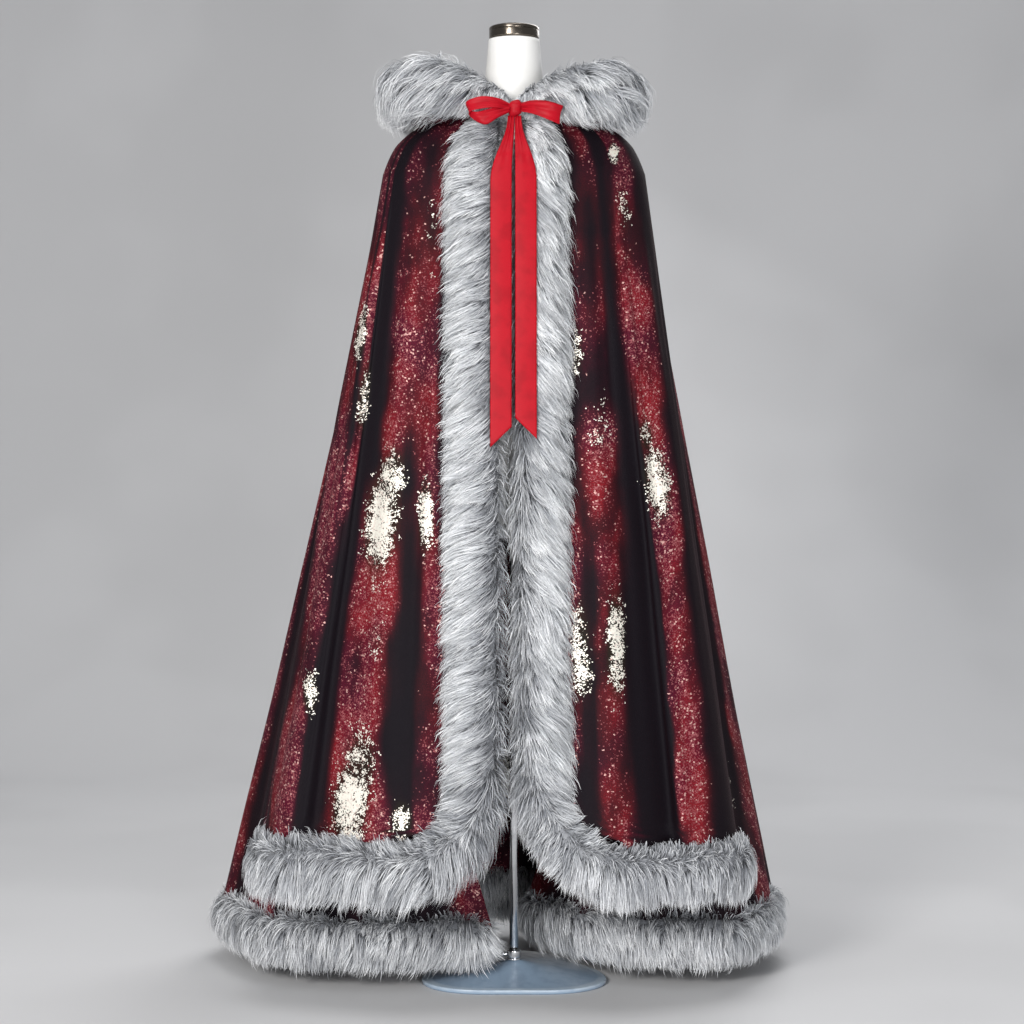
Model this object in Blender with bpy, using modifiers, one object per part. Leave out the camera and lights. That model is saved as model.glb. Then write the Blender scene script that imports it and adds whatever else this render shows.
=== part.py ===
"""Hooded cloak with long fur edging, open at the front, on a limbless dress form.

Units are metres and +Z is up. The front faces -Y and +X is on the right of someone who
looks at the front. The origin lies on the floor, on the axis of the form's pole.

The front panels and the back hang in straight lines from a shoulder level down to a
plan curve at their hem, so their folds start at nothing and widen downwards.
"""

import math
from collections import namedtuple

import bpy
import numpy as np

COLLECTION_NAME = "Hooded cloak on a dress form"

# Walls and seams
CLOTH = 0.0018
RIBBON = 0.0012
SEAM_GAP = 0.0003
STEP = 0.001

# Heights
SHOULDER_Z = 1.450
NECK_EDGE_Z = 1.580
NECK_ROWS = (NECK_EDGE_Z, 1.572, 1.562, 1.552, 1.540, 1.525, 1.505, 1.480)
STRIP_TOP_Z = 1.538
FRONT_HEM_Z = 0.187
LONG_HEM_Z = 0.037
GORE_POINT_Z = 1.000
GORE_TOP_Z = 0.940
TURNED_SEAM_GAP = 0.0018
CORNER_GAP = 0.0005
LONG_CLOTH_END_Z = 0.1435

# Fur: how far its pile reaches from the middle of the cloth
LONG_BAND = 0.106
LONG_BAND_REACH = 0.037
STRIP_OUTWARD = 0.028
STRIP_INWARD = 0.016
FUR_EVENING = 0.9

# Dress form and stand
POLE_RADIUS = 0.008
BASE_MEAN_RADIUS = 0.158
BASE_CORNER_SHARE = 0.12
BASE_SET_BACK = 0.034
BASE_TOP_SCALE = 0.08
BASE_RIM = 0.008
BASE_CONE = 0.030
COLLAR_RADIUS = 0.013
COLLAR_TOP_Z = 0.056
CAP_RADIUS = 0.045
NECK_TOP_Z = 1.693

# Hood
HOOD_BACK_DEPTH = 0.300
HOOD_LEAST_DEPTH = 0.060
HOOD_POINTEDNESS = 1.1
HOOD_HALF_TURN = 128.0
HOOD_HALF_SPREAD = 40.0
HOOD_BAG_EDGE = 4.0
HOOD_FUR_STATIONS = 46
HOOD_FUR_SIDES = 12
HOOD_ROLL_GAP = 0.0013
HOOD_LAST_RISE = 0.006
HOOD_LIFT = 0.0042
HOOD_LEAST_ROOM = 0.006
HOOD_ROWS = 13
BACK_FLARE = 2.8

# Ribbon
RIBBON_WIDTH = 0.037
TAIL_CLEARANCE = 0.0004
TAIL_WINDOW = 0.020
KNOT_X = 0.002
KNOT_Y = -0.1230
KNOT_Z = 1.552
KNOT_HALF = (0.013, 0.011, 0.014)

FormRing = namedtuple("FormRing", "name z half_width front back")
FORM_RINGS = (
    FormRing("bottom", 0.800, 0.150, 0.095, 0.110),
    FormRing("hip", 0.880, 0.172, 0.105, 0.125),
    FormRing("belly", 0.990, 0.150, 0.096, 0.104),
    FormRing("waist", 1.100, 0.125, 0.085, 0.085),
    FormRing("ribs", 1.200, 0.140, 0.098, 0.090),
    FormRing("chest", 1.300, 0.160, 0.112, 0.100),
    FormRing("armhole", 1.420, 0.178, 0.104, 0.104),
    FormRing("shoulder", 1.495, 0.188, 0.088, 0.096),
    FormRing("shoulder slope", 1.525, 0.174, 0.077, 0.085),
    FormRing("mid slope", 1.548, 0.135, 0.066, 0.073),
    FormRing("neck slope", 1.566, 0.088, 0.059, 0.063),
    FormRing("neck base", 1.588, 0.057, 0.054, 0.056),
    FormRing("neck", 1.630, 0.0515, 0.0515, 0.0515),
    FormRing("neck top", NECK_TOP_Z, 0.046, 0.046, 0.046),
)

Ease = namedtuple("Ease", "z side front back")
CLOTH_EASE = (
    Ease(SHOULDER_Z, 0.052, 0.024, 0.032),
    Ease(1.480, 0.036, 0.016, 0.020),
    Ease(1.505, 0.022, 0.010, 0.012),
    Ease(1.530, 0.010, 0.006, 0.006),
    Ease(1.548, 0.0050, 0.0045, 0.0045),
    Ease(1.566, 0.0045, 0.0040, 0.0040),
    Ease(NECK_EDGE_Z, 0.0045, 0.0035, 0.0035),
)

# A fold starts at an angle round the shoulder ring and ends at a place in the hem.
# Places are distances out from the pole's axis, to the side and to the front.
Fold = namedtuple("Fold", "name angle hem_side hem_front")
LEFT_FOLDS = (
    Fold("front edge", 1.8, 0.0075, 0.245),
    Fold("fur line", 29.0, 0.127, 0.252),
    Fold("front roll", 40.0, 0.195, 0.262),
    Fold("hollow", 52.0, 0.285, 0.225),
    Fold("valley", 62.0, 0.354, 0.178),
    Fold("side ridge", 66.5, 0.386, 0.200),
    Fold("side roll", 76.0, 0.434, 0.165),
    Fold("side", 86.0, 0.454, 0.104),
    Fold("seam", 95.2, 0.4262, 0.0370),
)
RIGHT_FOLDS = (
    Fold("front edge", -1.6, -0.0065, 0.245),
    Fold("fur line", 22.0, 0.102, 0.252),
    Fold("front roll", 30.0, 0.165, 0.258),
    Fold("hollow", 38.0, 0.232, 0.228),
    Fold("valley", 45.0, 0.278, 0.186),
    Fold("side ridge", 48.5, 0.304, 0.212),
    Fold("side roll", 66.0, 0.358, 0.188),
    Fold("side", 84.0, 0.402, 0.126),
    Fold("seam", 95.2, 0.4035, 0.0335),
)

# The long hem in plan, from the left insert's end round the back to the right one's.
HemPlace = namedtuple("HemPlace", "name angle x y")
LEFT_GORE = (
    HemPlace("end", None, -0.050, -0.050),
    HemPlace("bend", None, -0.190, -0.070),
    HemPlace("wide", None, -0.320, -0.070),
    HemPlace("seam", 264.5, -0.425, -0.0355),
)
BACK_HEM = (
    HemPlace("left seam", 264.5, -0.425, -0.0355),
    HemPlace("left side", 254.0, -0.500, 0.090),
    HemPlace("left reach", 243.0, -0.532, 0.200),
    HemPlace("left corner", 226.0, -0.490, 0.305),
    HemPlace("left back", 206.0, -0.320, 0.372),
    HemPlace("middle", 180.0, 0.000, 0.372),
    HemPlace("right back", 154.0, 0.300, 0.362),
    HemPlace("right corner", 134.0, 0.440, 0.290),
    HemPlace("right reach", 117.0, 0.480, 0.195),
    HemPlace("right side", 106.0, 0.452, 0.080),
    HemPlace("right seam", 95.5, 0.402, -0.032),
)
RIGHT_GORE = (
    HemPlace("seam", 95.5, 0.402, -0.032),
    HemPlace("wide", None, 0.310, -0.052),
    HemPlace("bend", None, 0.165, -0.006),
    HemPlace("deep", None, 0.068, 0.095),
    HemPlace("end", None, 0.034, 0.170),
)
BACK_PLEATS = 7
BACK_PLEAT_DEPTH = 0.014

# The roll of fur on the hood's edge, from the bow over a shoulder to the back.
RollPlace = namedtuple("RollPlace", "name x y z radius")
HOOD_ROLL = (
    RollPlace("bow", 0.013, -0.1020, 1.565, 0.022),
    RollPlace("collar bone", 0.055, -0.0990, 1.580, 0.033),
    RollPlace("front of shoulder", 0.105, -0.1030, 1.593, 0.049),
    RollPlace("shoulder", 0.158, -0.0860, 1.606, 0.060),
    RollPlace("side", 0.182, -0.0250, 1.609, 0.060),
    RollPlace("behind the shoulder", 0.178, 0.0560, 1.601, 0.055),
    RollPlace("shoulder blade", 0.140, 0.1370, 1.574, 0.053),
    RollPlace("nape", 0.070, 0.1880, 1.545, 0.051),
    RollPlace("middle of the back", 0.000, 0.2050, 1.536, 0.050),
)

# The hood's bag at the back: how deep each place lies and how far it stands off the cloak.
BagPlace = namedtuple("BagPlace", "name drop room")
HOOD_BAG = (
    BagPlace("behind the neck", 0.12, 0.010),
    BagPlace("inner wall", 0.70, 0.014),
    BagPlace("bottom", 1.00, 0.045),
    BagPlace("outer wall", 0.66, 0.088),
)

Finish = namedtuple("Finish", "name colour roughness metallic")
VELVET = Finish("foiled velvet", (0.13, 0.012, 0.028), 0.55, 0.15)
FUR = Finish("grey fur", (0.42, 0.44, 0.47), 0.90, 0.0)
SATIN = Finish("red satin", (0.42, 0.006, 0.02), 0.35, 0.0)
FORM_COVER = Finish("white form cover", (0.86, 0.86, 0.85), 0.60, 0.0)
DARK_CHROME = Finish("dark chrome", (0.20, 0.19, 0.18), 0.18, 1.0)
CHROME = Finish("chrome", (0.75, 0.76, 0.78), 0.12, 1.0)
BASE_PAINT = Finish("blue grey paint", (0.27, 0.34, 0.42), 0.40, 0.0)


def clear_scene():
    """Remove every object of the open scene."""
    for existing in list(bpy.data.objects):
        bpy.data.objects.remove(existing, do_unlink=True)


def make_collection(name):
    """Make a collection for the model and link it to the scene."""
    collection = bpy.data.collections.new(name)
    bpy.context.scene.collection.children.link(collection)
    return collection


def make_material(finish):
    """Make a Principled material, or return the one that has the finish's name."""
    material = bpy.data.materials.get(finish.name)
    if material is None:
        material = bpy.data.materials.new(finish.name)
        material.use_nodes = True
        shader = material.node_tree.nodes["Principled BSDF"]
        shader.inputs["Base Color"].default_value = (*finish.colour, 1.0)
        shader.inputs["Roughness"].default_value = finish.roughness
        shader.inputs["Metallic"].default_value = finish.metallic
    return material


def column(table, field):
    """One named column of a table of rows."""
    return np.array([getattr(row, field) for row in table])


def smooth_steps(knots, values, wanted):
    """Read a smooth curve through (knot, value) pairs that never overshoots them."""
    knots = np.asarray(knots, dtype=float)
    values = np.asarray(values, dtype=float)
    widths = np.diff(knots)
    slopes = np.diff(values) / widths
    tangents = np.zeros_like(values)
    same_way = slopes[1:] * slopes[:-1] > 0
    harmonic = 2 * slopes[1:] * slopes[:-1] / np.where(same_way, slopes[1:] + slopes[:-1], 1.0)
    tangents[1:-1] = np.where(same_way, harmonic, 0.0)
    tangents[0] = slopes[0]
    tangents[-1] = slopes[-1]
    wanted = np.clip(wanted, knots[0], knots[-1])
    place = np.clip(np.searchsorted(knots, wanted, side="right") - 1, 0, len(widths) - 1)
    width = widths[place]
    part = (wanted - knots[place]) / width
    return (
        (2 * part**3 - 3 * part**2 + 1) * values[place]
        + (part**3 - 2 * part**2 + part) * width * tangents[place]
        + (3 * part**2 - 2 * part**3) * values[place + 1]
        + (part**3 - part**2) * width * tangents[place + 1]
    )


def smooth_path(points, wanted):
    """Read a Catmull-Rom curve through points at places counted from 0 to the last one."""
    points = np.asarray(points, dtype=float)
    wanted = np.asarray(wanted, dtype=float)
    before = 2 * points[0] - points[1]
    after = 2 * points[-1] - points[-2]
    padded = np.vstack([before, points, after])
    place = np.clip(np.floor(wanted).astype(int), 0, len(points) - 2)
    part = (wanted - place)[..., None]
    a, b, c, d = (padded[place + step] for step in range(4))
    return 0.5 * (
        2 * b
        + (c - a) * part
        + (2 * a - 5 * b + 4 * c - d) * part**2
        + (3 * b - a - 3 * c + d) * part**3
    )


def even_path(points, count):
    """Resample the smooth curve through points at even distances along it."""
    dense = smooth_path(points, np.linspace(0, len(points) - 1, 40 * len(points)))
    along = np.concatenate([[0], np.cumsum(np.linalg.norm(np.diff(dense, axis=0), axis=1))])
    wanted = np.linspace(0, along[-1], count)
    return np.stack([np.interp(wanted, along, dense[:, axis]) for axis in range(dense.shape[1])], 1)


def form_ring(angle, z):
    """Point of the dress form at an angle round from the front, in degrees, and a height."""
    heights = column(FORM_RINGS, "z")
    half_width = smooth_steps(heights, column(FORM_RINGS, "half_width"), z)
    front = smooth_steps(heights, column(FORM_RINGS, "front"), z)
    back = smooth_steps(heights, column(FORM_RINGS, "back"), z)
    return ring_point(angle, z, half_width, front, back)


def ring_point(angle, z, half_width, front, back):
    """Point of a ring made of two half ellipses that meet at the sides."""
    turn = np.radians(angle)
    depth = np.where(np.cos(turn) > 0, front, back)
    x = half_width * np.sin(turn)
    y = -depth * np.cos(turn)
    return np.stack(np.broadcast_arrays(x, y, z), axis=-1).astype(float)


def cloth_ring(angle, z):
    """Middle of the cloth where it lies round the form, from the shoulder level up."""
    form_heights = column(FORM_RINGS, "z")
    ease_heights = column(CLOTH_EASE, "z")
    sizes = [
        smooth_steps(form_heights, column(FORM_RINGS, form_field), z)
        + smooth_steps(ease_heights, column(CLOTH_EASE, ease_field), z)
        for form_field, ease_field in (("half_width", "side"), ("front", "front"), ("back", "back"))
    ]
    return ring_point(angle, z, *sizes)


def hanging_point(angle, hem_x, hem_y, z, hem_z):
    """Point of cloth that follows the form to the shoulder level and then hangs straight."""
    above = cloth_ring(angle, np.maximum(z, SHOULDER_Z))
    fall = (SHOULDER_Z - np.minimum(z, SHOULDER_Z)) / (SHOULDER_Z - hem_z)
    hem = np.stack(np.broadcast_arrays(hem_x, hem_y, z), axis=-1)
    point = above + (hem - above) * fall[..., None]
    point[..., 2] = z
    return point


class FrontPanel:
    """The surface of one front, from its edge at the middle to its side seam."""

    def __init__(self, side, folds, strip_width, corner_radius, strip_end):
        self.side = side
        self.folds = folds
        self.strip_width = strip_width
        self.corner_radius = corner_radius
        self.strip_end = strip_end
        self.places = np.arange(len(folds), dtype=float)

    def point(self, place, z):
        """Point at a place counted in folds from the front edge, and at a height."""
        place, z = np.broadcast_arrays(np.asarray(place, float), np.asarray(z, float))
        angle = smooth_steps(self.places, column(self.folds, "angle"), place)
        hem_places = np.stack([column(self.folds, "hem_side"), column(self.folds, "hem_front")], axis=1)
        hem = smooth_path(hem_places, place)
        point = hanging_point(angle, hem[..., 0], -hem[..., 1], z, FRONT_HEM_Z)
        point[..., 0] *= self.side
        return point

    def place_at(self, across, z):
        """Place whose distance from the front edge, measured on the cloth, is across."""
        places = np.linspace(0, self.places[-1], 20 * len(self.places))
        line = self.point(places, z)
        along = np.concatenate([[0], np.cumsum(np.linalg.norm(np.diff(line, axis=0), axis=1))])
        return np.interp(across, along, places)

    def outward(self, place, z, span=0.02):
        """Unit vector that points out of the cloth, evened out over a span of places."""
        last = self.places[-1]
        across = self.point(min(place + span, last), z) - self.point(max(place - span, 0.0), z)
        up = self.point(place, z + STEP) - self.point(place, z - STEP)
        normal = np.cross(across, up) * self.side
        return normal / np.linalg.norm(normal, axis=-1, keepdims=True)

    def strip_reach(self, z):
        """Width of the fur down the front edge, which narrows towards the neck."""
        if z <= SHOULDER_Z:
            return self.strip_width
        fur_line = float(self.place_at(self.strip_width, SHOULDER_Z))
        line = self.point(np.linspace(0, fur_line, 40), z)
        return float(np.linalg.norm(np.diff(line, axis=0), axis=1).sum())

    @property
    def turn_radius(self):
        """Radius at which the fur's middle line turns from the front edge into the hem."""
        return self.corner_radius + self.strip_width / 2

    @property
    def turn_z(self):
        """Height at which that turn starts."""
        return FRONT_HEM_Z + self.strip_width / 2 + self.turn_radius

    def cloth_start(self, z):
        """Distance from the front edge at which the cloth begins, beside the fur."""
        if z > SHOULDER_Z:
            return self.strip_reach(z) + SEAM_GAP
        below = np.maximum(self.turn_z - z, 0.0)
        radius = self.corner_radius - CORNER_GAP
        inner = self.strip_width / 2 + self.turn_radius
        return inner - math.sqrt(max(radius**2 - below**2, 0.0)) + SEAM_GAP


def evened(folds):
    """The folds with their sharp valley filled, as thick fur bridges it."""
    rows = []
    for before, fold, after in zip(folds, folds[1:], folds[2:]):
        if fold.name == "valley":
            share = (fold.hem_side - before.hem_side) / (after.hem_side - before.hem_side)
            bridged = before.hem_front + share * (after.hem_front - before.hem_front)
            fold = fold._replace(hem_front=bridged)
        rows.append(fold)
    return (folds[0], *rows, folds[-1])


def front_panels():
    """The left and the right front."""
    left = FrontPanel(-1, LEFT_FOLDS, strip_width=0.116, corner_radius=0.070, strip_end=0.525)
    right = FrontPanel(1, RIGHT_FOLDS, strip_width=0.106, corner_radius=0.100, strip_end=0.470)
    return left, right


def panel_rows(panel, columns):
    """Grid of a front panel's cloth, from the neck edge to the top of its hem fur."""
    corner_turns = np.radians(np.linspace(0, 90, 7))
    corner_rows = panel.turn_z - (panel.corner_radius - CORNER_GAP) * np.sin(corner_turns)
    long_rows = np.linspace(SHOULDER_Z, panel.turn_z, 5)[:-1]
    grid = []
    for z in (*NECK_ROWS, *long_rows, *corner_rows):
        start = panel.place_at(panel.cloth_start(z), z)
        grid.append(panel.point(np.linspace(start, panel.places[-1], columns), z))
    return np.array(grid)


def strip_rings(panel):
    """Closed sections of the fur along a front edge, round the corner and along the hem."""
    half = panel.strip_width / 2
    neck = [(panel.strip_reach(z) / 2, z, 0.0) for z in (STRIP_TOP_Z, 1.528, 1.508, 1.480)]
    upright = neck + [(half, z, 0.0) for z in np.linspace(SHOULDER_Z, panel.turn_z, 9)[:-1]]
    turns = np.linspace(0, math.pi / 2, 12)
    centre = half + panel.turn_radius
    across = centre - panel.turn_radius * np.cos(turns)
    corner = list(zip(across, panel.turn_z - panel.turn_radius * np.sin(turns), turns))
    hem_across = np.linspace(centre, panel.strip_end, 10)[1:]
    hem = [(across, FRONT_HEM_Z + half, math.pi / 2) for across in hem_across]
    path = upright + corner + hem
    last = len(path) - 1
    rings = []
    for index, (across, z, turn) in enumerate(path):
        size = end_taper(index, last)
        wide = panel.strip_reach(z) / 2
        inward = STRIP_INWARD * np.interp(z, (1.20, SHOULDER_Z, STRIP_TOP_Z), (1.0, 0.5, 0.16))
        ring = []
        for sweep in np.radians(np.arange(0, 360, 45)):
            offset = wide * size * math.cos(sweep)
            out = math.sin(sweep) * (STRIP_OUTWARD if math.sin(sweep) > 0 else inward) * size
            ring_across = across - offset * math.cos(turn)
            ring_z = z + offset * -math.sin(turn)
            place = panel.place_at(max(ring_across, 0.0), ring_z)
            ring.append(panel.point(place, ring_z) + out * panel.outward(place, ring_z, FUR_EVENING))
        rings.append(ring)
    return np.array(rings)


def end_taper(index, last):
    """Size of a section near the rounded ends of a roll of fur."""
    from_end = min(index, last - index)
    return {0: 0.62, 1: 0.92}.get(from_end, 1.0)


def hem_line(places):
    """Points in plan of one stretch of the long hem."""
    return np.stack([column(places, "x"), column(places, "y")], 1)


def back_hem_points(share):
    """Plan of the back's hem, with its pleats, at shares of its length from left to right."""
    places = share * (len(BACK_HEM) - 1)
    line = smooth_path(hem_line(BACK_HEM), places)
    ahead = smooth_path(hem_line(BACK_HEM), np.minimum(places + 0.01, len(BACK_HEM) - 1))
    behind = smooth_path(hem_line(BACK_HEM), np.maximum(places - 0.01, 0))
    along = (ahead - behind) / np.linalg.norm(ahead - behind, axis=-1, keepdims=True)
    outward = np.stack([-along[..., 1], along[..., 0]], axis=-1)
    fade = np.sin(math.pi * share) ** 0.5
    wave = BACK_PLEAT_DEPTH * np.sin(2 * math.pi * BACK_PLEATS * share) * fade
    return line + outward * wave[..., None]


def back_rows(columns):
    """Grid of the back's cloth, from the neck edge to the top of the long hem's fur."""
    share = np.linspace(0, 1, columns)
    places = share * (len(BACK_HEM) - 1)
    angle = smooth_steps(np.arange(len(BACK_HEM)), column(BACK_HEM, "angle"), places)
    hem_x, hem_y = back_hem_points(share).T
    rows = []
    for z in (*NECK_ROWS, *np.linspace(SHOULDER_Z, LONG_CLOTH_END_Z, 6)):
        rows.append(hanging_point(angle, hem_x, hem_y, np.full(columns, z), LONG_CLOTH_END_Z))
    return np.array(rows)


def seam_point(place, z):
    """Point of the side seam between the back and an insert."""
    return hanging_point(place.angle, place.x, place.y, np.asarray(z, float), LONG_CLOTH_END_Z)


def gore_rows(places, seam, columns):
    """Grid of an insert that widens from a point on the side seam down to the hem."""
    line = even_path(hem_line(places), columns)
    grid = []
    for z in np.linspace(GORE_TOP_Z, LONG_CLOTH_END_Z, 6):
        widening = (GORE_POINT_Z - z) / (GORE_POINT_Z - LONG_CLOTH_END_Z)
        top = seam_point(seam, z)
        row = np.empty((columns, 3))
        row[:, :2] = top[:2] + (line - np.array([seam.x, seam.y])) * widening
        row[:, 2] = z
        grid.append(row)
    return shrink_from_seam(np.array(grid), seam)


def shrink_from_seam(grid, seam):
    """Move the insert's seam edge away from the back's edge by a seam's gap."""
    at_start = abs(grid[-1, 0, 0] - seam.x) < abs(grid[-1, -1, 0] - seam.x)
    edge, inner = (0, 1) if at_start else (-1, -2)
    inward = grid[:, inner] - grid[:, edge]
    length = np.linalg.norm(inward, axis=-1, keepdims=True)
    grid[:, edge] += inward / length * TURNED_SEAM_GAP
    return grid


def long_hem_rings():
    """Closed sections of the fur along the whole long hem."""
    back = back_hem_points(np.linspace(0, 1, 45))
    left = even_path(hem_line(LEFT_GORE), 14)
    right = even_path(hem_line(RIGHT_GORE), 16)
    line = np.vstack([left[:-1], back, right[1:]])
    line = smooth_corners(line)
    along = np.gradient(line, axis=0)
    along /= np.linalg.norm(along, axis=1, keepdims=True)
    outward = np.stack([-along[:, 1], along[:, 0]], axis=1)
    middle_z = LONG_HEM_Z + LONG_BAND / 2
    last = len(line) - 1
    rings = []
    for index, (place, out) in enumerate(zip(line, outward)):
        size = end_taper(index, last)
        ring = []
        for sweep in np.radians(np.arange(0, 360, 45)):
            reach = LONG_BAND_REACH * size * math.cos(sweep)
            z = middle_z + LONG_BAND / 2 * size * math.sin(sweep)
            ring.append((*(place + out * reach), z))
        rings.append(ring)
    return np.array(rings)


def smooth_corners(line):
    """Ease the two seams, where an insert turns into the back."""
    for _ in range(3):
        line[1:-1] = (line[:-2] + 2 * line[1:-1] + line[2:]) / 4
    return line


def hood_roll_line(count):
    """Middle points and radii of the hood's fur from the right of the bow round to its left."""
    right = np.array([(place.x, place.y, place.z, place.radius) for place in HOOD_ROLL])
    left = right[-2::-1] * (-1, 1, 1, 1)
    return even_path(np.vstack([right, left]), count)


def tube_rings(line, radii, sides):
    """Round sections square to a line that lies nearly level."""
    along = np.gradient(line, axis=0)
    along /= np.linalg.norm(along, axis=1, keepdims=True)
    outward = np.cross(along, (0, 0, 1))
    outward /= np.linalg.norm(outward, axis=1, keepdims=True)
    up = np.cross(outward, along)
    sweep = np.radians(np.arange(sides) * 360 / sides)
    across = np.cos(sweep)[None, :, None] * outward[:, None, :]
    rise = np.sin(sweep)[None, :, None] * up[:, None, :]
    return line[:, None, :] + (across + rise) * radii[:, None, None]


def hood_fur_rings():
    """Sections of the hood's fur from the right of the bow round to its left."""
    roll = hood_roll_line(HOOD_FUR_STATIONS)
    rings = tube_rings(roll[:, :3], roll[:, 3], HOOD_FUR_SIDES)
    for index in (0, 1, -2, -1):
        size = end_taper(index % len(rings), len(rings) - 1)
        centre = roll[index, :3]
        rings[index] = centre + (rings[index] - centre) * size
    return rings


def hood_rows():
    """Grid of the hood, a bag that opens upwards behind the neck.

    There is a column for each section of the fur. A column runs from the neck seam over
    the shoulder and down the back, round the bag's bottom and up to the underside of the
    fur. Towards the front the bag fades to a short bridge from the neck seam to the fur.
    """
    underside = hood_fur_rings()[:, HOOD_FUR_SIDES * 3 // 4] - (0, 0, HOOD_ROLL_GAP)
    grid = []
    for under in underside:
        turn = math.degrees(math.atan2(under[0], under[1]))
        if abs(turn) > HOOD_HALF_TURN:
            continue
        angle = 180 - turn
        outward = np.array([math.sin(math.radians(angle)), -math.cos(math.radians(angle)), 0.0])
        bag = math.exp(-abs(turn / HOOD_HALF_SPREAD) ** HOOD_BAG_EDGE)
        seam = cloth_ring(angle, NECK_EDGE_Z) + (0, 0, CLOTH)
        rise = seam + outward * 0.004 + (0, 0, 0.010)
        pointed = math.cos(math.radians(turn * HOOD_POINTEDNESS)) ** 2
        depth = HOOD_BACK_DEPTH * pointed + HOOD_LEAST_DEPTH
        path = [rise]
        for place, share in zip(HOOD_BAG, (0.25, 0.5, 0.7, 0.85)):
            z = NECK_EDGE_Z - depth * place.drop
            behind = outward * cloak_reach(angle, z, place.room) + (0, 0, z)
            on_top = rise + (under - rise) * share
            on_top[2] = cloak_height(angle, float(np.linalg.norm(on_top[:2]))) + HOOD_LIFT
            path.append(behind * bag + on_top * (1 - bag))
        path.append(under - (0, 0, HOOD_LAST_RISE))
        path.append(under)
        column_points = np.vstack([seam, even_path(path, HOOD_ROWS)])
        grid.append(clear_of_cloak(column_points, angle))
    return np.array(grid).transpose(1, 0, 2)


def cloak_reach(angle, z, room):
    """Distance from the pole's axis that leaves room outside the cloak, above its hem."""
    hem = cloth_ring(angle, SHOULDER_Z) * BACK_FLARE
    level = np.asarray(min(z, NECK_EDGE_Z), dtype=float)
    surface = hanging_point(angle, hem[0], hem[1], level, LONG_CLOTH_END_Z)
    return float(np.linalg.norm(surface[:2])) + room


def cloak_height(angle, reach):
    """Height of the cloak's shoulder at a distance from the pole's axis."""
    heights = np.linspace(NECK_EDGE_Z, SHOULDER_Z, 60)
    reaches = [cloak_reach(angle, z, 0.0) for z in heights]
    return float(np.interp(reach, reaches, heights))


def clear_of_cloak(points, angle):
    """Push the points that come too near the cloak's shoulders and back away from them."""
    for index in range(2, len(points)):
        z = points[index, 2]
        reach = float(np.linalg.norm(points[index, :2]))
        least = cloak_reach(angle, z, HOOD_LEAST_ROOM)
        if z < NECK_EDGE_Z and reach < least:
            points[index, :2] *= least / reach
    return points


def tail_rows(panel, centre_x, length, slant):
    """Grid of a ribbon tail that hangs in front of the fur, with its end cut on a slant."""
    top_z = KNOT_Z - KNOT_HALF[2] - SEAM_GAP - RIBBON / 2
    grid = []
    for share in np.linspace(0, 1, 17):
        opening = min(share * 5, 1.0)
        spread = opening * opening * (3 - 2 * opening)
        width = RIBBON_WIDTH * (0.30 + 0.70 * spread)
        middle_x = KNOT_X + (centre_x - KNOT_X) * (0.28 + 0.72 * spread)
        outer_edge = abs(middle_x) + width / 2
        row = []
        for across in np.linspace(-0.5, 0.5, 5):
            z = top_z - (length + slant * across) * share
            fur_y = min(strip_front(panel, outer_edge, level) for level in (z - TAIL_WINDOW, z))
            y = min(fur_y - TAIL_CLEARANCE, KNOT_Y)
            row.append((middle_x + across * width, y, z))
        grid.append(row)
    return np.array(grid)


def strip_front(panel, out_x, z):
    """How far forward the fur down a front edge reaches, at a distance from the middle."""
    half = panel.strip_reach(z) / 2
    offset = min(abs(out_x - half), half)
    diagonal = math.sqrt(0.5)
    bulge = np.interp(offset / half, (0.0, diagonal, 1.0), (1.0, diagonal, 0.0))
    return float(panel.point(panel.place_at(out_x, z), z)[1] - STRIP_OUTWARD * bulge)


LoopPlace = namedtuple("LoopPlace", "out drop front")
LOOP = (
    LoopPlace(0.0132, -0.002, 0.002),
    LoopPlace(0.040, -0.008, 0.018),
    LoopPlace(0.068, 0.000, 0.018),
    LoopPlace(0.080, 0.010, 0.010),
    LoopPlace(0.066, 0.018, 0.003),
    LoopPlace(0.040, 0.012, 0.004),
    LoopPlace(0.0132, 0.002, -0.002),
)


def loop_rows(side, tilt, knot):
    """Grid of one bow loop, a ribbon that goes out, turns and comes back."""
    line = even_path([tuple(place) for place in LOOP], 19)
    grid = []
    for out, drop, front in line:
        row = []
        pinch = 0.45 + 0.55 * min(max(out - LOOP[0].out, 0.0) / 0.03, 1.0)
        for across in (-0.5, 0.0, 0.5):
            up = across * RIBBON_WIDTH * 0.72 * pinch - drop
            x = knot[0] + side * (out * math.cos(tilt) + up * math.sin(tilt) * 0.3)
            row.append((x, knot[1] - front, knot[2] + up - out * math.sin(tilt)))
        grid.append(row)
    return np.array(grid)


def add_object(name, vertices, faces, finish, collection):
    """Make a mesh object with its material and smooth shading."""
    mesh = bpy.data.meshes.new(name)
    mesh.from_pydata(vertices, [], faces)
    mesh.materials.append(make_material(finish))
    mesh.shade_smooth()
    mesh.set_sharp_from_angle(angle=math.radians(50))
    new_object = bpy.data.objects.new(name, mesh)
    collection.objects.link(new_object)
    return new_object


def grid_faces(rows, columns, wrap):
    """Four-sided faces between neighbouring rows of a grid of points."""
    faces = []
    for row in range(rows - 1):
        above = row * columns
        below = above + columns
        for col in range(columns if wrap else columns - 1):
            beside = (col + 1) % columns
            faces.append((above + col, above + beside, below + beside, below + col))
    return faces


def facing(faces, flip):
    """The faces, turned over where flip is true."""
    return [face[::-1] for face in faces] if flip else faces


def add_cloth(name, grid, thickness, finish, collection, flip=False):
    """Make a wall of even thickness on both sides of a grid of points."""
    rows, columns = grid.shape[:2]
    faces = facing(grid_faces(rows, columns, wrap=False), flip)
    cloth = add_object(name, grid.reshape(-1, 3).tolist(), faces, finish, collection)
    wall = cloth.modifiers.new("Wall", "SOLIDIFY")
    wall.thickness = thickness
    wall.offset = 0.0
    return cloth


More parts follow.
